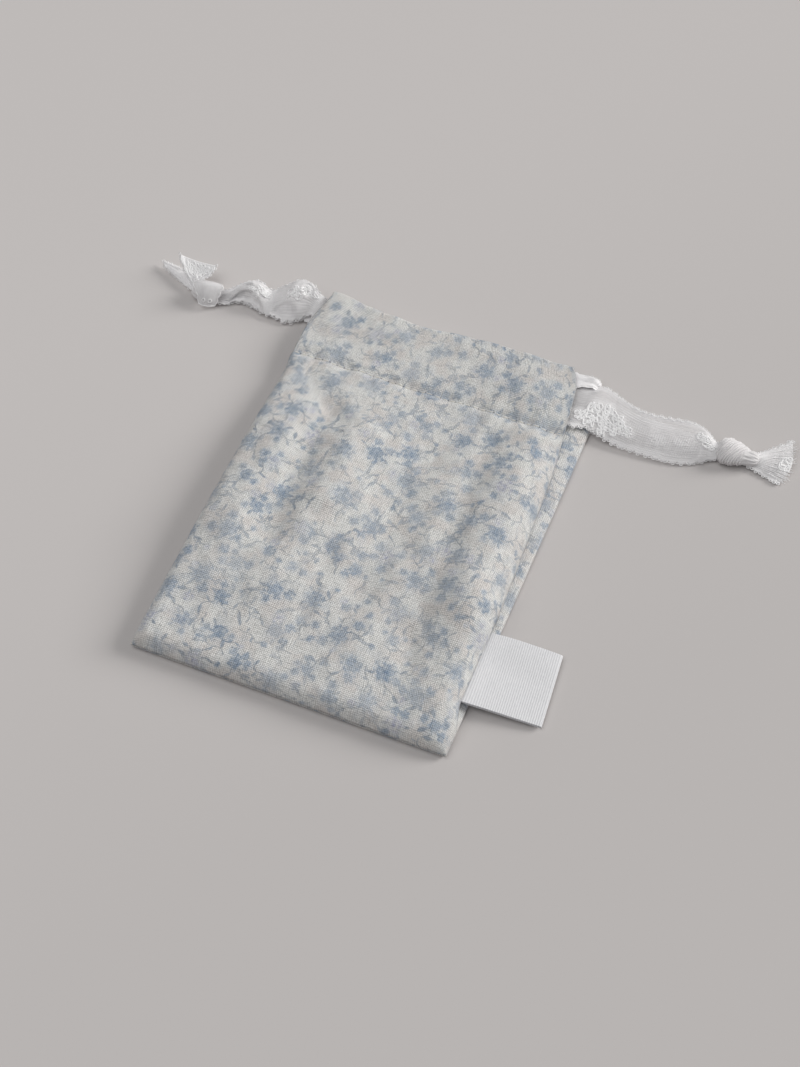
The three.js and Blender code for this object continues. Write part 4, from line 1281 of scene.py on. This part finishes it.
def spray(place, aside, size, turn):  # worked lace: cords that loop and scroll through each other
    t = np.linspace(0, 1, 110)
    lines = []
    for k in range(2):
        phase = turn + 1.9 * k
        along = place + size * (1.5 * (t - 0.5) + 0.55 * np.sin(math.tau * 2.5 * t + phase))
        swing = 0.75 * np.cos(math.tau * (1.5 + 0.5 * k) * t + 2 * phase) + 0.35 * np.cos(math.tau * 4 * t)
        lines.append((along, aside + size * swing))
    ring = np.linspace(0, math.tau, 26)
    for k in range(3):
        middle = turn * 2 + 2.1 * k
        reach = size * (0.3 + 0.08 * k)
        lines.append((place + 0.85 * size * math.cos(middle) + reach * np.cos(ring),
                      aside + 0.7 * size * math.sin(middle) + reach * np.sin(ring)))
    return lines


sprays = {  # along from the casing's end, across, size, turn
    "right_tie_front": [
        (-0.4, -2.6, 1.7, 0.3), (2.6, -0.6, 1.7, 1.4), (2.8, -4.2, 1.5, 2.2), (5.8, -2.4, 1.8, 0.9),
        (6.6, 0.6, 1.5, 1.1), (6.4, -5.0, 1.2, 0.2), (9.2, -3.6, 1.7, 2.6), (9.8, -0.4, 1.6, 0.7),
        (12.6, -2.4, 1.5, 1.6), (32.0, 2.0, 1.6, 1.3), (34.0, -0.6, 1.6, 0.5), (54.5, 0.5, 2.0, 1.9),
    ],
    "right_tie_back": [(20.0, 0, 2.0, 0.4), (26.0, 1.0, 1.6, 1.4)],
    "left_tie_front": [
        (5.5, 2.0, 2.2, 0.4), (9.0, -0.5, 2.0, 1.1), (19.5, 2.2, 2.0, 0.2), (23.0, -1.0, 1.6, 1.7),
        (43.8, 2.8, 1.7, 0.8), (43.8, -1.6, 1.7, 2.1), (41.6, 0.6, 1.2, 1.2),
        (44.2, 0.8, 1.4, 0.1), (44.4, 4.6, 1.2, 1.7), (44.0, -3.8, 1.3, 2.9),
    ],
    "left_tie_back": [(15.0, 0, 1.8, 1.0)],
}
# The work repeats along the run that the casing hides: how many sprays, how far apart, how often
sprayRepeats = {"right_tie_front": (6, 17, 3), "left_tie_front": (4, 28, 2)}
# The left tie's tail: where its ground turns firm, how firm, and the cords along its edges
leftTail = {"firmFrom": 37, "firmTo": 40, "end": 46, "firm": 0.85, "cords": (-6.3, -6.0, -5.7, -5.4, 6.2)}


def workedPlaces(node):
    count, pitch, times = sprayRepeats.get(node, (0, 0, 0))
    places = list(sprays[node])
    for k in range(1, times + 1):
        places.extend((place - pitch * k, *rest) for place, *rest in sprays[node][:count])
    return places


def cordPiece(name, lines, radius, body):
    values = {"Radius": radius * mm, "Finish": cordFinish}
    piece = runNodes(name, linesMesh(name + "Line", lines), trees["cord"], values)
    return ridePiece(piece, body)


def picotPiece(name, lines, body):
    values = {
        "Pitch": lace["picotPitch"] * mm, "Size": lace["picotSize"] * mm,
        "Radius": lace["picotThread"] * mm, "Finish": cordFinish,
    }
    piece = runNodes(name, linesMesh(name + "Line", lines), trees["picot"], values)
    return ridePiece(piece, body)


def firmness(node, layer, start, worked):  # how closed the ground is: gathered, worked and at the tail
    gone, aside, firm = (layer[..., k] for k in range(3))
    firm = np.maximum(firm, lace["close"][node] * smooth(start - 6, start, gone))
    for place, middle, size, _ in worked:
        reach = np.hypot(gone - start - place, aside - middle) / size
        firm = np.maximum(firm, lace["workCover"] * smooth(2.2, 0.9, reach))
    if node == "left_tie_front":
        tail = smooth(start + leftTail["firmFrom"], start + leftTail["firmTo"], gone)
        firm = np.maximum(firm, leftTail["firm"] * tail)
    return firm


def buildLace(node, body, outer):
    run = runStations(node + "_run", outer)
    grid, normal, layers = laceGrid(run + freeLace[node], lace, scoops.get(node, ()))
    low, high = nodeBox(node + "_run")
    start, length = high[0] - low[0], len(grid) * lace["step"]
    worked = workedPlaces(node)
    layers["lace"][..., 2] = firmness(node, layers["lace"], start, worked)
    words = node.split("_")
    name = words[0] + "Tie" + words[2].capitalize()
    piece = clothPiece(name + "Lace", grid, lace["thickness"], layers, laceFinish)
    ridePiece(piece, body, [node + part for part in ("_run", "_strand", "_tail")])
    lines = []
    for place, middle, size, turn in worked:
        lift = lace["cord"] * (0.8 if place > -1 else 0.1)  # pressed flat in the casing
        for along, across in spray(start + place, middle, size, turn):
            lines.append(onLace(grid, normal, along, across, lace, lift))
    if node == "left_tie_front":
        tail = np.linspace(start + leftTail["firmTo"], start + leftTail["end"], 40)
        for aside in leftTail["cords"]:
            lines.append(onLace(grid, normal, tail, aside + 0 * tail, lace, 0.1))
    cords = cordPiece(name + "Sprays", lines, lace["cord"], body)
    first = lace["picotFrom"] if node.endswith("front") else start - lace["picotBack"]
    along = np.arange(first, length, lace["step"])
    edges = []
    for side in (-1, 1):
        aside = side * (lace["width"] / 2 + lace["picotOut"])
        line = onLace(grid, normal, along, aside + 0 * along, lace, 0.0)
        line[:, 2] = np.maximum(line[:, 2], lace["picotSize"] + 0.15)
        edges.append(line)
    picots = picotPiece(name + "Picots", edges, body)
    return piece, [cords, picots], length


for body, outer in ties.items():
    for layer in ("front", "back"):
        buildLace(body + "_" + layer, body, outer)
print("laces laid")

# Knots: the two laces bunched into one pleated cord and drawn through their own loop

knot = {
    "ring": 2.0, "twist": 0.95, "girth": 1.35, "flat": 0.85, "pleats": 10, "pleatDepth": 0.16, "spin": 7.0,
    "voxel": 0.12, "rest": 0.12, "leftSize": 0.72, "rightSize": 0.7, "shift": (0, 0.5, 0.1),
    "wrapPleat": 0.66, "wrapDepth": 0.25, "wrapLean": 1.7, "wrapY": 49.3, "wrapZ": 2.3,
    "wrapEnd": (80.6, 79.0),
}

# The wrap round the right knot, along x: place, half width, half height
wrapShape = [
    (72.2, 1.2, 0.9), (72.8, 2.6, 1.7), (73.8, 3.6, 2.3), (75.2, 3.8, 2.5), (77.0, 3.4, 2.35),
    (78.8, 2.7, 2.0), (80.2, 2.15, 1.7), (81.6, 2.0, 1.55), (82.6, 1.5, 1.2), (83.2, 0.7, 0.6),
]

# The lace end folded down over the left knot, from its top to its hem: left, middle and right
knotFlap = [
    ((-75.0, 49.3, 4.0), (-70.8, 49.7, 5.5), (-66.4, 49.9, 5.5)),
    ((-73.7, 47.7, 4.1), (-70.4, 48.2, 5.4), (-66.5, 48.7, 4.9)),
    ((-72.1, 46.0, 3.4), (-69.5, 46.3, 3.9), (-66.8, 47.2, 3.3)),
    ((-71.5, 44.8, 1.2), (-69.4, 44.5, 1.2), (-67.3, 45.7, 1.0)),
]


def knotLine(side, k):  # an overhand knot about its own middle
    turn = math.tau * np.linspace(0.05, 0.95, 40)
    reach = k["ring"] + k["twist"] * np.cos(3 * turn)
    depth = k["twist"] * np.sin(3 * turn)
    loops = np.stack([reach * np.sin(2 * turn), -reach * np.cos(2 * turn), depth], axis=-1)
    outerY = -k["ring"] - 0.9 * k["twist"]

    def lead(way):
        return np.array([
            (way * 0.1 * k["twist"], outerY, -way * k["twist"]),
            (way * k["ring"], outerY, -way * k["twist"]),
            (way * (k["ring"] + 2 * k["twist"]), -k["ring"], -way * 0.3 * k["twist"]),
        ])
    line = np.concatenate([lead(-1)[::-1], loops, lead(1)])
    return through(line * (side, 1, 1), 260)


def pleatedTube(line, k):  # the bunched laces along that line
    tangent = np.gradient(line, axis=0)
    tangent /= np.linalg.norm(tangent, axis=1, keepdims=True)
    aside = np.cross(tangent, (0, 0, 1.0))
    aside /= np.maximum(np.linalg.norm(aside, axis=1, keepdims=True), 1e-6)
    up = np.cross(aside, tangent)
    sides = 60
    around = np.linspace(0, math.tau, sides, endpoint=False)[None, :]
    gone = np.linspace(0, 1, len(line))[:, None]
    ends = smooth(0, 0.05, gone) * smooth(1, 0.95, gone)
    girth = k["girth"] * (0.55 + 0.45 * ends) * (1 + 0.06 * np.sin(gone * 23))
    ridge = 1 + k["pleatDepth"] * np.cos(k["pleats"] * around + k["spin"] * gone * math.tau)
    radius = (girth * ridge)[..., None]
    ring = np.cos(around)[..., None] * aside[:, None, :]
    ring = ring + k["flat"] * np.sin(around)[..., None] * up[:, None, :]
    points = (line[:, None, :] + radius * ring).reshape(-1, 3)
    return points, tubeFaces(len(line), sides)


def pleatedWrap(k):  # the lace wound round the strand, with its pleats leaning across
    shape = through(wrapShape, 150)
    sides = 90
    around = np.linspace(0, math.tau, sides, endpoint=False)[None, :]
    x, width, height = (shape[:, axis][:, None] for axis in range(3))
    phase = (x - k["wrapLean"] * np.cos(around)) / k["wrapPleat"]
    drift = 0.5 * ripple(x + 0 * around, 3 * np.cos(around) + 0 * x, 2.5, 2.5, 51)
    fine = k["wrapDepth"] * np.cos(math.tau * (phase + drift)) + 0.12 * np.cos(math.tau * phase / 3.3 + 1)
    gathers = 0.1 * np.cos(11 * around + 0.6 * x) + 0.05 * np.cos(17 * around - 0.9 * x)
    fine = mix(gathers, fine, smooth(*k["wrapEnd"], x - 0.8 * np.cos(around)))
    y = k["wrapY"] + (width + fine) * np.cos(around)
    z = k["wrapZ"] + (height + fine) * np.sin(around)
    points = np.stack([x + 0 * around, y, z], axis=-1).reshape(-1, 3)
    return points, tubeFaces(len(shape), sides)


def buildKnot(body, side):
    node = body + "_knot"
    name = body.split("_")[0] + "TieKnot"
    low, high = nodeBox(node)
    centre = (low + high) / 2 + knot["shift"]
    points, faces = pleatedTube(knotLine(side, knot), knot)
    points = points * (knot["rightSize"] if side > 0 else knot["leftSize"]) + centre
    if side > 0:
        wrapPoints, wrapFaces = pleatedWrap(knot)
        faces = faces + [tuple(corner + len(points) for corner in face) for face in wrapFaces]
        points = np.concatenate([points, wrapPoints])
    points[:, 2] = np.maximum(points[:, 2], knot["rest"])
    rough = addObject(body + "Rough", meshFrom(body, points, faces), None)
    drawn = rough.modifiers.new("drawnTight", "REMESH")
    drawn.mode = "VOXEL"
    drawn.voxel_size = knot["voxel"] * mm
    drawn.use_smooth_shade = True
    piece = addObject(name, plainMesh(rough, name), knotFinish)
    return ridePiece(piece, body, [node])


knots = {body: buildKnot(body, side) for body, side in ties.items()}


flap = {
    "pleatHeight": 0.1, "columns": 34, "step": 0.2, "firm": 0.5, "hem": 6.4, "cordShare": 0.8,
    "eyelets": (-2.2, 2.4),
}


def buildFlap(f):
    fold = {**lace, **f}
    grid, normal, layers = laceGrid(knotFlap, fold)
    layers["lace"][..., 2] = f["firm"]
    piece = clothPiece("leftTieKnotFlap", grid, lace["thickness"], layers, laceFinish)
    ridePiece(piece, "left_tie")
    lines = []
    end = (len(grid) - 2) * f["step"]
    ring = np.linspace(0, math.tau, 18)
    for aside in f["eyelets"]:  # worked above the hem
        along, across = end - 1.5 + 0.5 * np.cos(ring), aside + 1.1 * np.sin(ring)
        lines.append(onLace(grid, normal, along, across, fold, 0.12))
    hem = np.linspace(-f["hem"], f["hem"], 40)
    lines.append(onLace(grid, normal, end + 0 * hem, hem, fold, 0.1))
    down = np.linspace(0.5, end, 40)
    for side in (-1, 1):
        lines.append(onLace(grid, normal, down, side * f["hem"] + 0 * down, fold, 0.1))
    return [piece, cordPiece("leftTieKnotCords", lines, lace["cord"] * f["cordShare"], "left_tie")]


flapPieces = buildFlap(flap)

fray = {
    "threads": 34, "half": 6.2, "root": (6, 14), "reach": (0.2, 1.3),
    "radius": 0.07, "lift": 0.12, "seed": 8,
}


def buildFray(f):  # loose threads at the cut end of the right tie
    grid, normal, _ = laceGrid(runStations("right_tie_front_run", 1) + freeLace["right_tie_front"], lace)
    draw = random.Random(f["seed"])
    lines = []
    for aside in np.linspace(-f["half"], f["half"], f["threads"]):
        column = round((aside / lace["width"] + 0.5) * (lace["columns"] - 1))
        back = draw.randint(*f["root"])
        start, end = grid[-1 - back, column], grid[-1, column]
        way = (end - start) / np.linalg.norm(end - start)
        bend = np.array([draw.uniform(-0.4, 0.4), draw.uniform(-0.5, 0.5), draw.uniform(0, 0.35)])
        share = np.linspace(0, 1, 9)[:, None]
        reach = draw.uniform(*f["reach"])
        line = np.concatenate([mix(start, end, share[:-1]), end + way * reach * share + bend * share**2])
        lines.append(line + normal[-1, column] * f["lift"])
    return cordPiece("rightTieFray", lines, f["radius"], "right_tie")


frayThreads = buildFray(fray)

turning = {
    "inset": 0.17, "tuck": 1.6, "half": 5, "bunch": 3.2, "tip": 3.0, "pleatHeight": 0.3, "frill": 0.3,
}


def buildTurn(body, side, t):  # the bunched lace that goes round the far end of the casings
    node = body + "_turn"
    low, high = nodeBox(node)
    frontZ, backZ = high[2] - t["inset"], low[2] + t["inset"]
    tip, inner = (low[0], high[0]) if side > 0 else (high[0], low[0])
    bunchY = high[1] - t["tuck"] if side < 0 else low[1] + t["tuck"]
    bunched = tip + side * t["tuck"]
    middleY = nodeMiddle(body + "_front_run")[1]
    halfX, halfY = mix(inner, bunched, 0.4), mix(middleY, bunchY, 0.8)

    def across(x, y, width, z):
        return ((x, y - width / 2, z), (x, y, z), (x, y + width / 2, z))
    stations = [
        across(inner, middleY, lace["width"], frontZ),
        across(halfX, halfY, t["half"], frontZ),
        across(bunched, bunchY, t["bunch"], frontZ + 0.1),
        across(tip, bunchY, t["tip"], mix(backZ, frontZ, 0.62)),
        across(tip, bunchY, t["tip"], mix(backZ, frontZ, 0.38)),
        across(bunched, bunchY, t["bunch"], backZ),
        across(halfX, halfY, t["half"], backZ),
        across(inner, middleY, lace["width"], backZ),
    ]
    grid, _, layers = laceGrid(stations, {**lace, "pleatHeight": t["pleatHeight"]})
    layers["lace"][..., 2] = 1
    name = body.split("_")[0] + "TieTurn"
    piece = clothPiece(name, grid, lace["thickness"], layers, laceFinish)
    ridePiece(piece, "pouch", [node])
    extras = []
    if side < 0:  # the edge that shows beside the mouth
        inside = round(t["frill"] * len(grid))
        extras.append(picotPiece(name + "Frill", [grid[inside:-inside, -1]], "pouch"))
    return piece, extras, len(grid) * lace["step"]


turns = {body: buildTurn(body, side, turning) for body, side in ties.items()}
print("knots and turns made")


# Side label: a folded tape caught in the right seam

label = {
    "width": 20, "thickness": 0.22, "gap": 0.34, "ribPitch": 0.56, "ribHeight": 0.045, "rootRib": 0.02,
    "weftPitch": 0.34, "turn": 5.0, "lift": 0.9, "bend": 4.4, "inset": 0.3, "shiftY": -1.2, "tipRise": 0.55,
    "curl": 0.25, "rest": 0.06, "white": linear(240, 240, 242), "shade": linear(208, 209, 213),
}


def labelMaterial(s):
    material, tree, shader = newMaterial("labelTape", roughness=0.6, specular=0.3, sheen=0.1)
    rib = axes(tree, attributeVector(tree, "tape"))
    wave = calc(tree, "SINE", calc(tree, "MULTIPLY", rib[0], math.tau / s["ribPitch"]))
    weft = calc(tree, "SINE", calc(tree, "MULTIPLY", rib[1], math.tau / s["weftPitch"]))
    grain = noiseValue(tree, objectPlace(tree), 1500.0, 2.0)
    height = calc(tree, "MULTIPLY_ADD", weft, 0.25, calc(tree, "MULTIPLY_ADD", wave, 0.5, grain))
    # painted shade in the rib grooves: the tint follows the ribs, with random grain tone on top
    share = calc(tree, "MULTIPLY_ADD", wave, 0.28, calc(tree, "MULTIPLY_ADD", grain, 0.5, 0.3))
    tree.links.new(blendColour(tree, share, s["shade"], s["white"]), shader.inputs["Base Color"])
    bumpInto(tree, shader, height, strength=0.5, distance=0.0001)
    return material


labelFinish = labelMaterial(label)


def labelPlace(reach, aside, s):  # the tape leaves the seam, slopes down and swings round a little
    low, high = nodeBox("side_label_flap")
    length = high[0] - low[0]
    share = reach / length
    rootZ = nodeBox("side_label_root")[1][2] - s["inset"]
    turn = math.radians(s["turn"]) * smooth(-0.1, 0.3, share)
    middleY = (low[1] + high[1]) / 2
    x = low[0] + s["inset"] + reach * np.cos(turn) - aside * np.sin(turn)
    y = middleY + aside * np.cos(turn) + reach * np.sin(turn) + s["shiftY"]
    tipZ = low[2] + s["tipRise"]
    z = mix(rootZ, tipZ, np.clip(share, 0, 1) ** 0.85)
    z = z + s["lift"] * smooth(0, 10, aside) * np.sin(np.clip(share, 0, 1) * math.pi) ** 0.8
    z = z + s["curl"] * smooth(0.6, 1, share) * smooth(-10, 10, aside)
    return np.stack([x, y, z], axis=-1)


def buildLabel(s):
    low, high = nodeBox("side_label_flap")
    rootLow, rootHigh = nodeBox("side_label_root")
    length, width = high[0] - low[0] - s["inset"], high[1] - low[1]
    aside = np.linspace(-width / 2, width / 2, 150)[None, :]
    half = (s["gap"] + s["thickness"]) / 2
    down = np.linspace(0, length - half, 70)
    turn = np.linspace(math.pi / 2, -math.pi / 2, 13)[1:-1]
    reach = np.concatenate([down, length - half + half * np.cos(turn), down[::-1]])[:, None]
    over = np.concatenate([0 * down + half, half * np.sin(turn), 0 * down - half])[:, None]
    over = over * smooth(-0.5, 2.5, reach)
    middle = labelPlace(reach + 0 * aside, aside + 0 * reach, s)
    gone = runLength(np.stack([reach[:, 0], over[:, 0]], axis=-1))[:, None]
    rib = s["ribHeight"] * np.cos(math.tau * gone / s["ribPitch"]) * np.sign(over + 1e-6)
    middle[..., 2] += over + rib
    middle[..., 2] = np.maximum(middle[..., 2], s["thickness"] / 2 + s["rest"])
    layers = {"tape": np.stack([gone + 0 * aside, aside + 0 * gone, 0 * (gone + aside)], axis=-1)}
    flap = clothPiece("sideLabelFlap", middle, s["thickness"], layers, labelFinish)
    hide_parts("side_label_flap")
    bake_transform(flap)

    reach = np.linspace(rootLow[0], rootHigh[0] + 0.1, 14)[:, None]
    aside = np.linspace(rootLow[1], rootHigh[1], 60)[None, :]
    z = (rootLow[2] + rootHigh[2]) / 2 + s["rootRib"] * np.cos(math.tau * reach / s["ribPitch"])
    grid = np.stack([reach + 0 * aside, aside + 0 * reach, z + 0 * aside], axis=-1)
    layers = {"tape": np.stack([reach + 0 * aside, aside + 0 * reach, 0 * (reach + aside)], axis=-1)}
    root = clothPiece("sideLabelRoot", grid, 2 * s["thickness"], layers, labelFinish)
    ridePiece(root, "pouch", ["side_label_root"])
    return flap, root, float(gone.max())


labelFlap, labelRoot, labelLength = buildLabel(label)
print("label folded")


# Inner bag: two nonwoven sheets round a heap of dried buds

bag = {
    "thickness": 0.12, "below": 0.75, "rest": 0.05, "crinkle": 0.08, "weld": 0.25, "headroom": 0.3,
    "white": linear(236, 235, 230), "shade": linear(205, 203, 197),
}
lavender = {
    "density": 130000.0, "length": 1.9, "seed": 5, "inset": 2.5, "below": 1.4, "floor": 1.0, "roof": 0.8,
    "violet": linear(108, 98, 132), "grey": linear(146, 142, 128),
}


def nonwovenMaterial(s):
    material, tree, shader = newMaterial("nonwoven", roughness=0.8, specular=0.2, sheen=0.2)
    place = objectPlace(tree)
    fibre = noiseValue(tree, stretch(tree, place, 900, 2600, 900), 1.0, 3.0)
    dots = addNode(tree, "ShaderNodeTexVoronoi", {"Vector": place, "Scale": 900.0}, feature="F1").outputs[0]
    pressed = ramp(tree, dots, 0.25, 0.4)
    share = calc(tree, "MULTIPLY_ADD", fibre, 0.6, calc(tree, "MULTIPLY", pressed, 0.4))
    tree.links.new(blendColour(tree, share, s["shade"], s["white"]), shader.inputs["Base Color"])
    bumpInto(tree, shader, share, strength=0.4, distance=0.00008)
    return material


def budMaterial(s):
    material, tree, shader = newMaterial("driedLavender", roughness=0.85, specular=0.2, sheen=0.3)
    place = objectPlace(tree)
    patch = ramp(tree, noiseValue(tree, place, 700.0, 3.0), 0.35, 0.65)
    tint = blendColour(tree, patch, s["violet"], s["grey"])
    tree.links.new(tint, shader.inputs["Base Color"])
    bumpInto(tree, shader, noiseValue(tree, place, 4000.0, 2.0), strength=0.5, distance=0.0001)
    return material


bagFinish, budFinish = nonwovenMaterial(bag), budMaterial(lavender)


def topOf(x, y):  # the front cloth's height above a place in the flat part of the pouch
    left, right = frontEdges(y)
    across = (x - left) / (right - left) * 2 - 1
    return frontSurface(across, y)[..., 2] - cotton["thickness"] / 2


def buildBag(s):
    pieces = []
    for layer in ("lower", "upper"):
        node = "inner_bag_" + layer
        low, high = nodeBox(node)
        half = (high - low) / 2
        x, y = np.meshgrid(np.linspace(low[0], high[0], 60), np.linspace(low[1], high[1], 80))
        shareX, shareY = np.abs(x - low[0] - half[0]) / half[0], np.abs(y - low[1] - half[1]) / half[1]
        rim = smooth(1, 0.72, shareX) * smooth(1, 0.82, shareY)
        if layer == "upper":
            roof = np.minimum(topOf(x, y) - s["below"], high[2] - s["headroom"])
            z = mix(low[2] + s["weld"], np.maximum(roof, low[2] + s["headroom"]), rim)
            z = np.minimum(z, np.maximum(roof, low[2] + 0.2))
        else:
            floor = low[2] + s["thickness"] / 2 + s["rest"]
            z = floor + 0 * x + s["crinkle"] * np.abs(ripple(x, y, 6, 8, 41)) * rim
        grid = np.stack([x, y, z], axis=-1)
        piece = clothPiece("innerBag" + layer.capitalize(), grid, s["thickness"], {}, bagFinish)
        pieces.append(ridePiece(piece, "pouch", [node]))
    return pieces


def buildBuds(s):
    low, high = nodeBox("lavender_fill")
    inset = s["inset"]
    columns = np.linspace(low[0] + inset, high[0] - inset, 40)
    rows = np.linspace(low[1] + inset, high[1] - inset, 50)
    x, y = np.meshgrid(columns, rows)
    floor = low[2] + s["floor"]
    roof = np.minimum(topOf(x, y) - bag["below"] - s["below"], high[2] - s["roof"])
    points, faces = [], []
    for share in (0.0, 0.5, 1.0):
        z = mix(floor, np.maximum(roof, floor), share)
        index = len(points) + np.arange(x.size).reshape(x.shape)
        points.extend(np.stack([x, y, z], axis=-1).reshape(-1, 3).tolist())
        faces.extend(gridFaces(index).tolist())
    carrier = meshFrom("budCarrier", points, faces)
    values = {"Density": s["density"], "Length": s["length"] * mm, "Seed": s["seed"], "Finish": budFinish}
    heap = runNodes("lavenderBuds", carrier, trees["bud"], values)
    return ridePiece(heap, "pouch", ["lavender_fill"])


bagSheets = buildBag(bag)
buildBuds(lavender)
print("bag filled")


print("pieces ready")
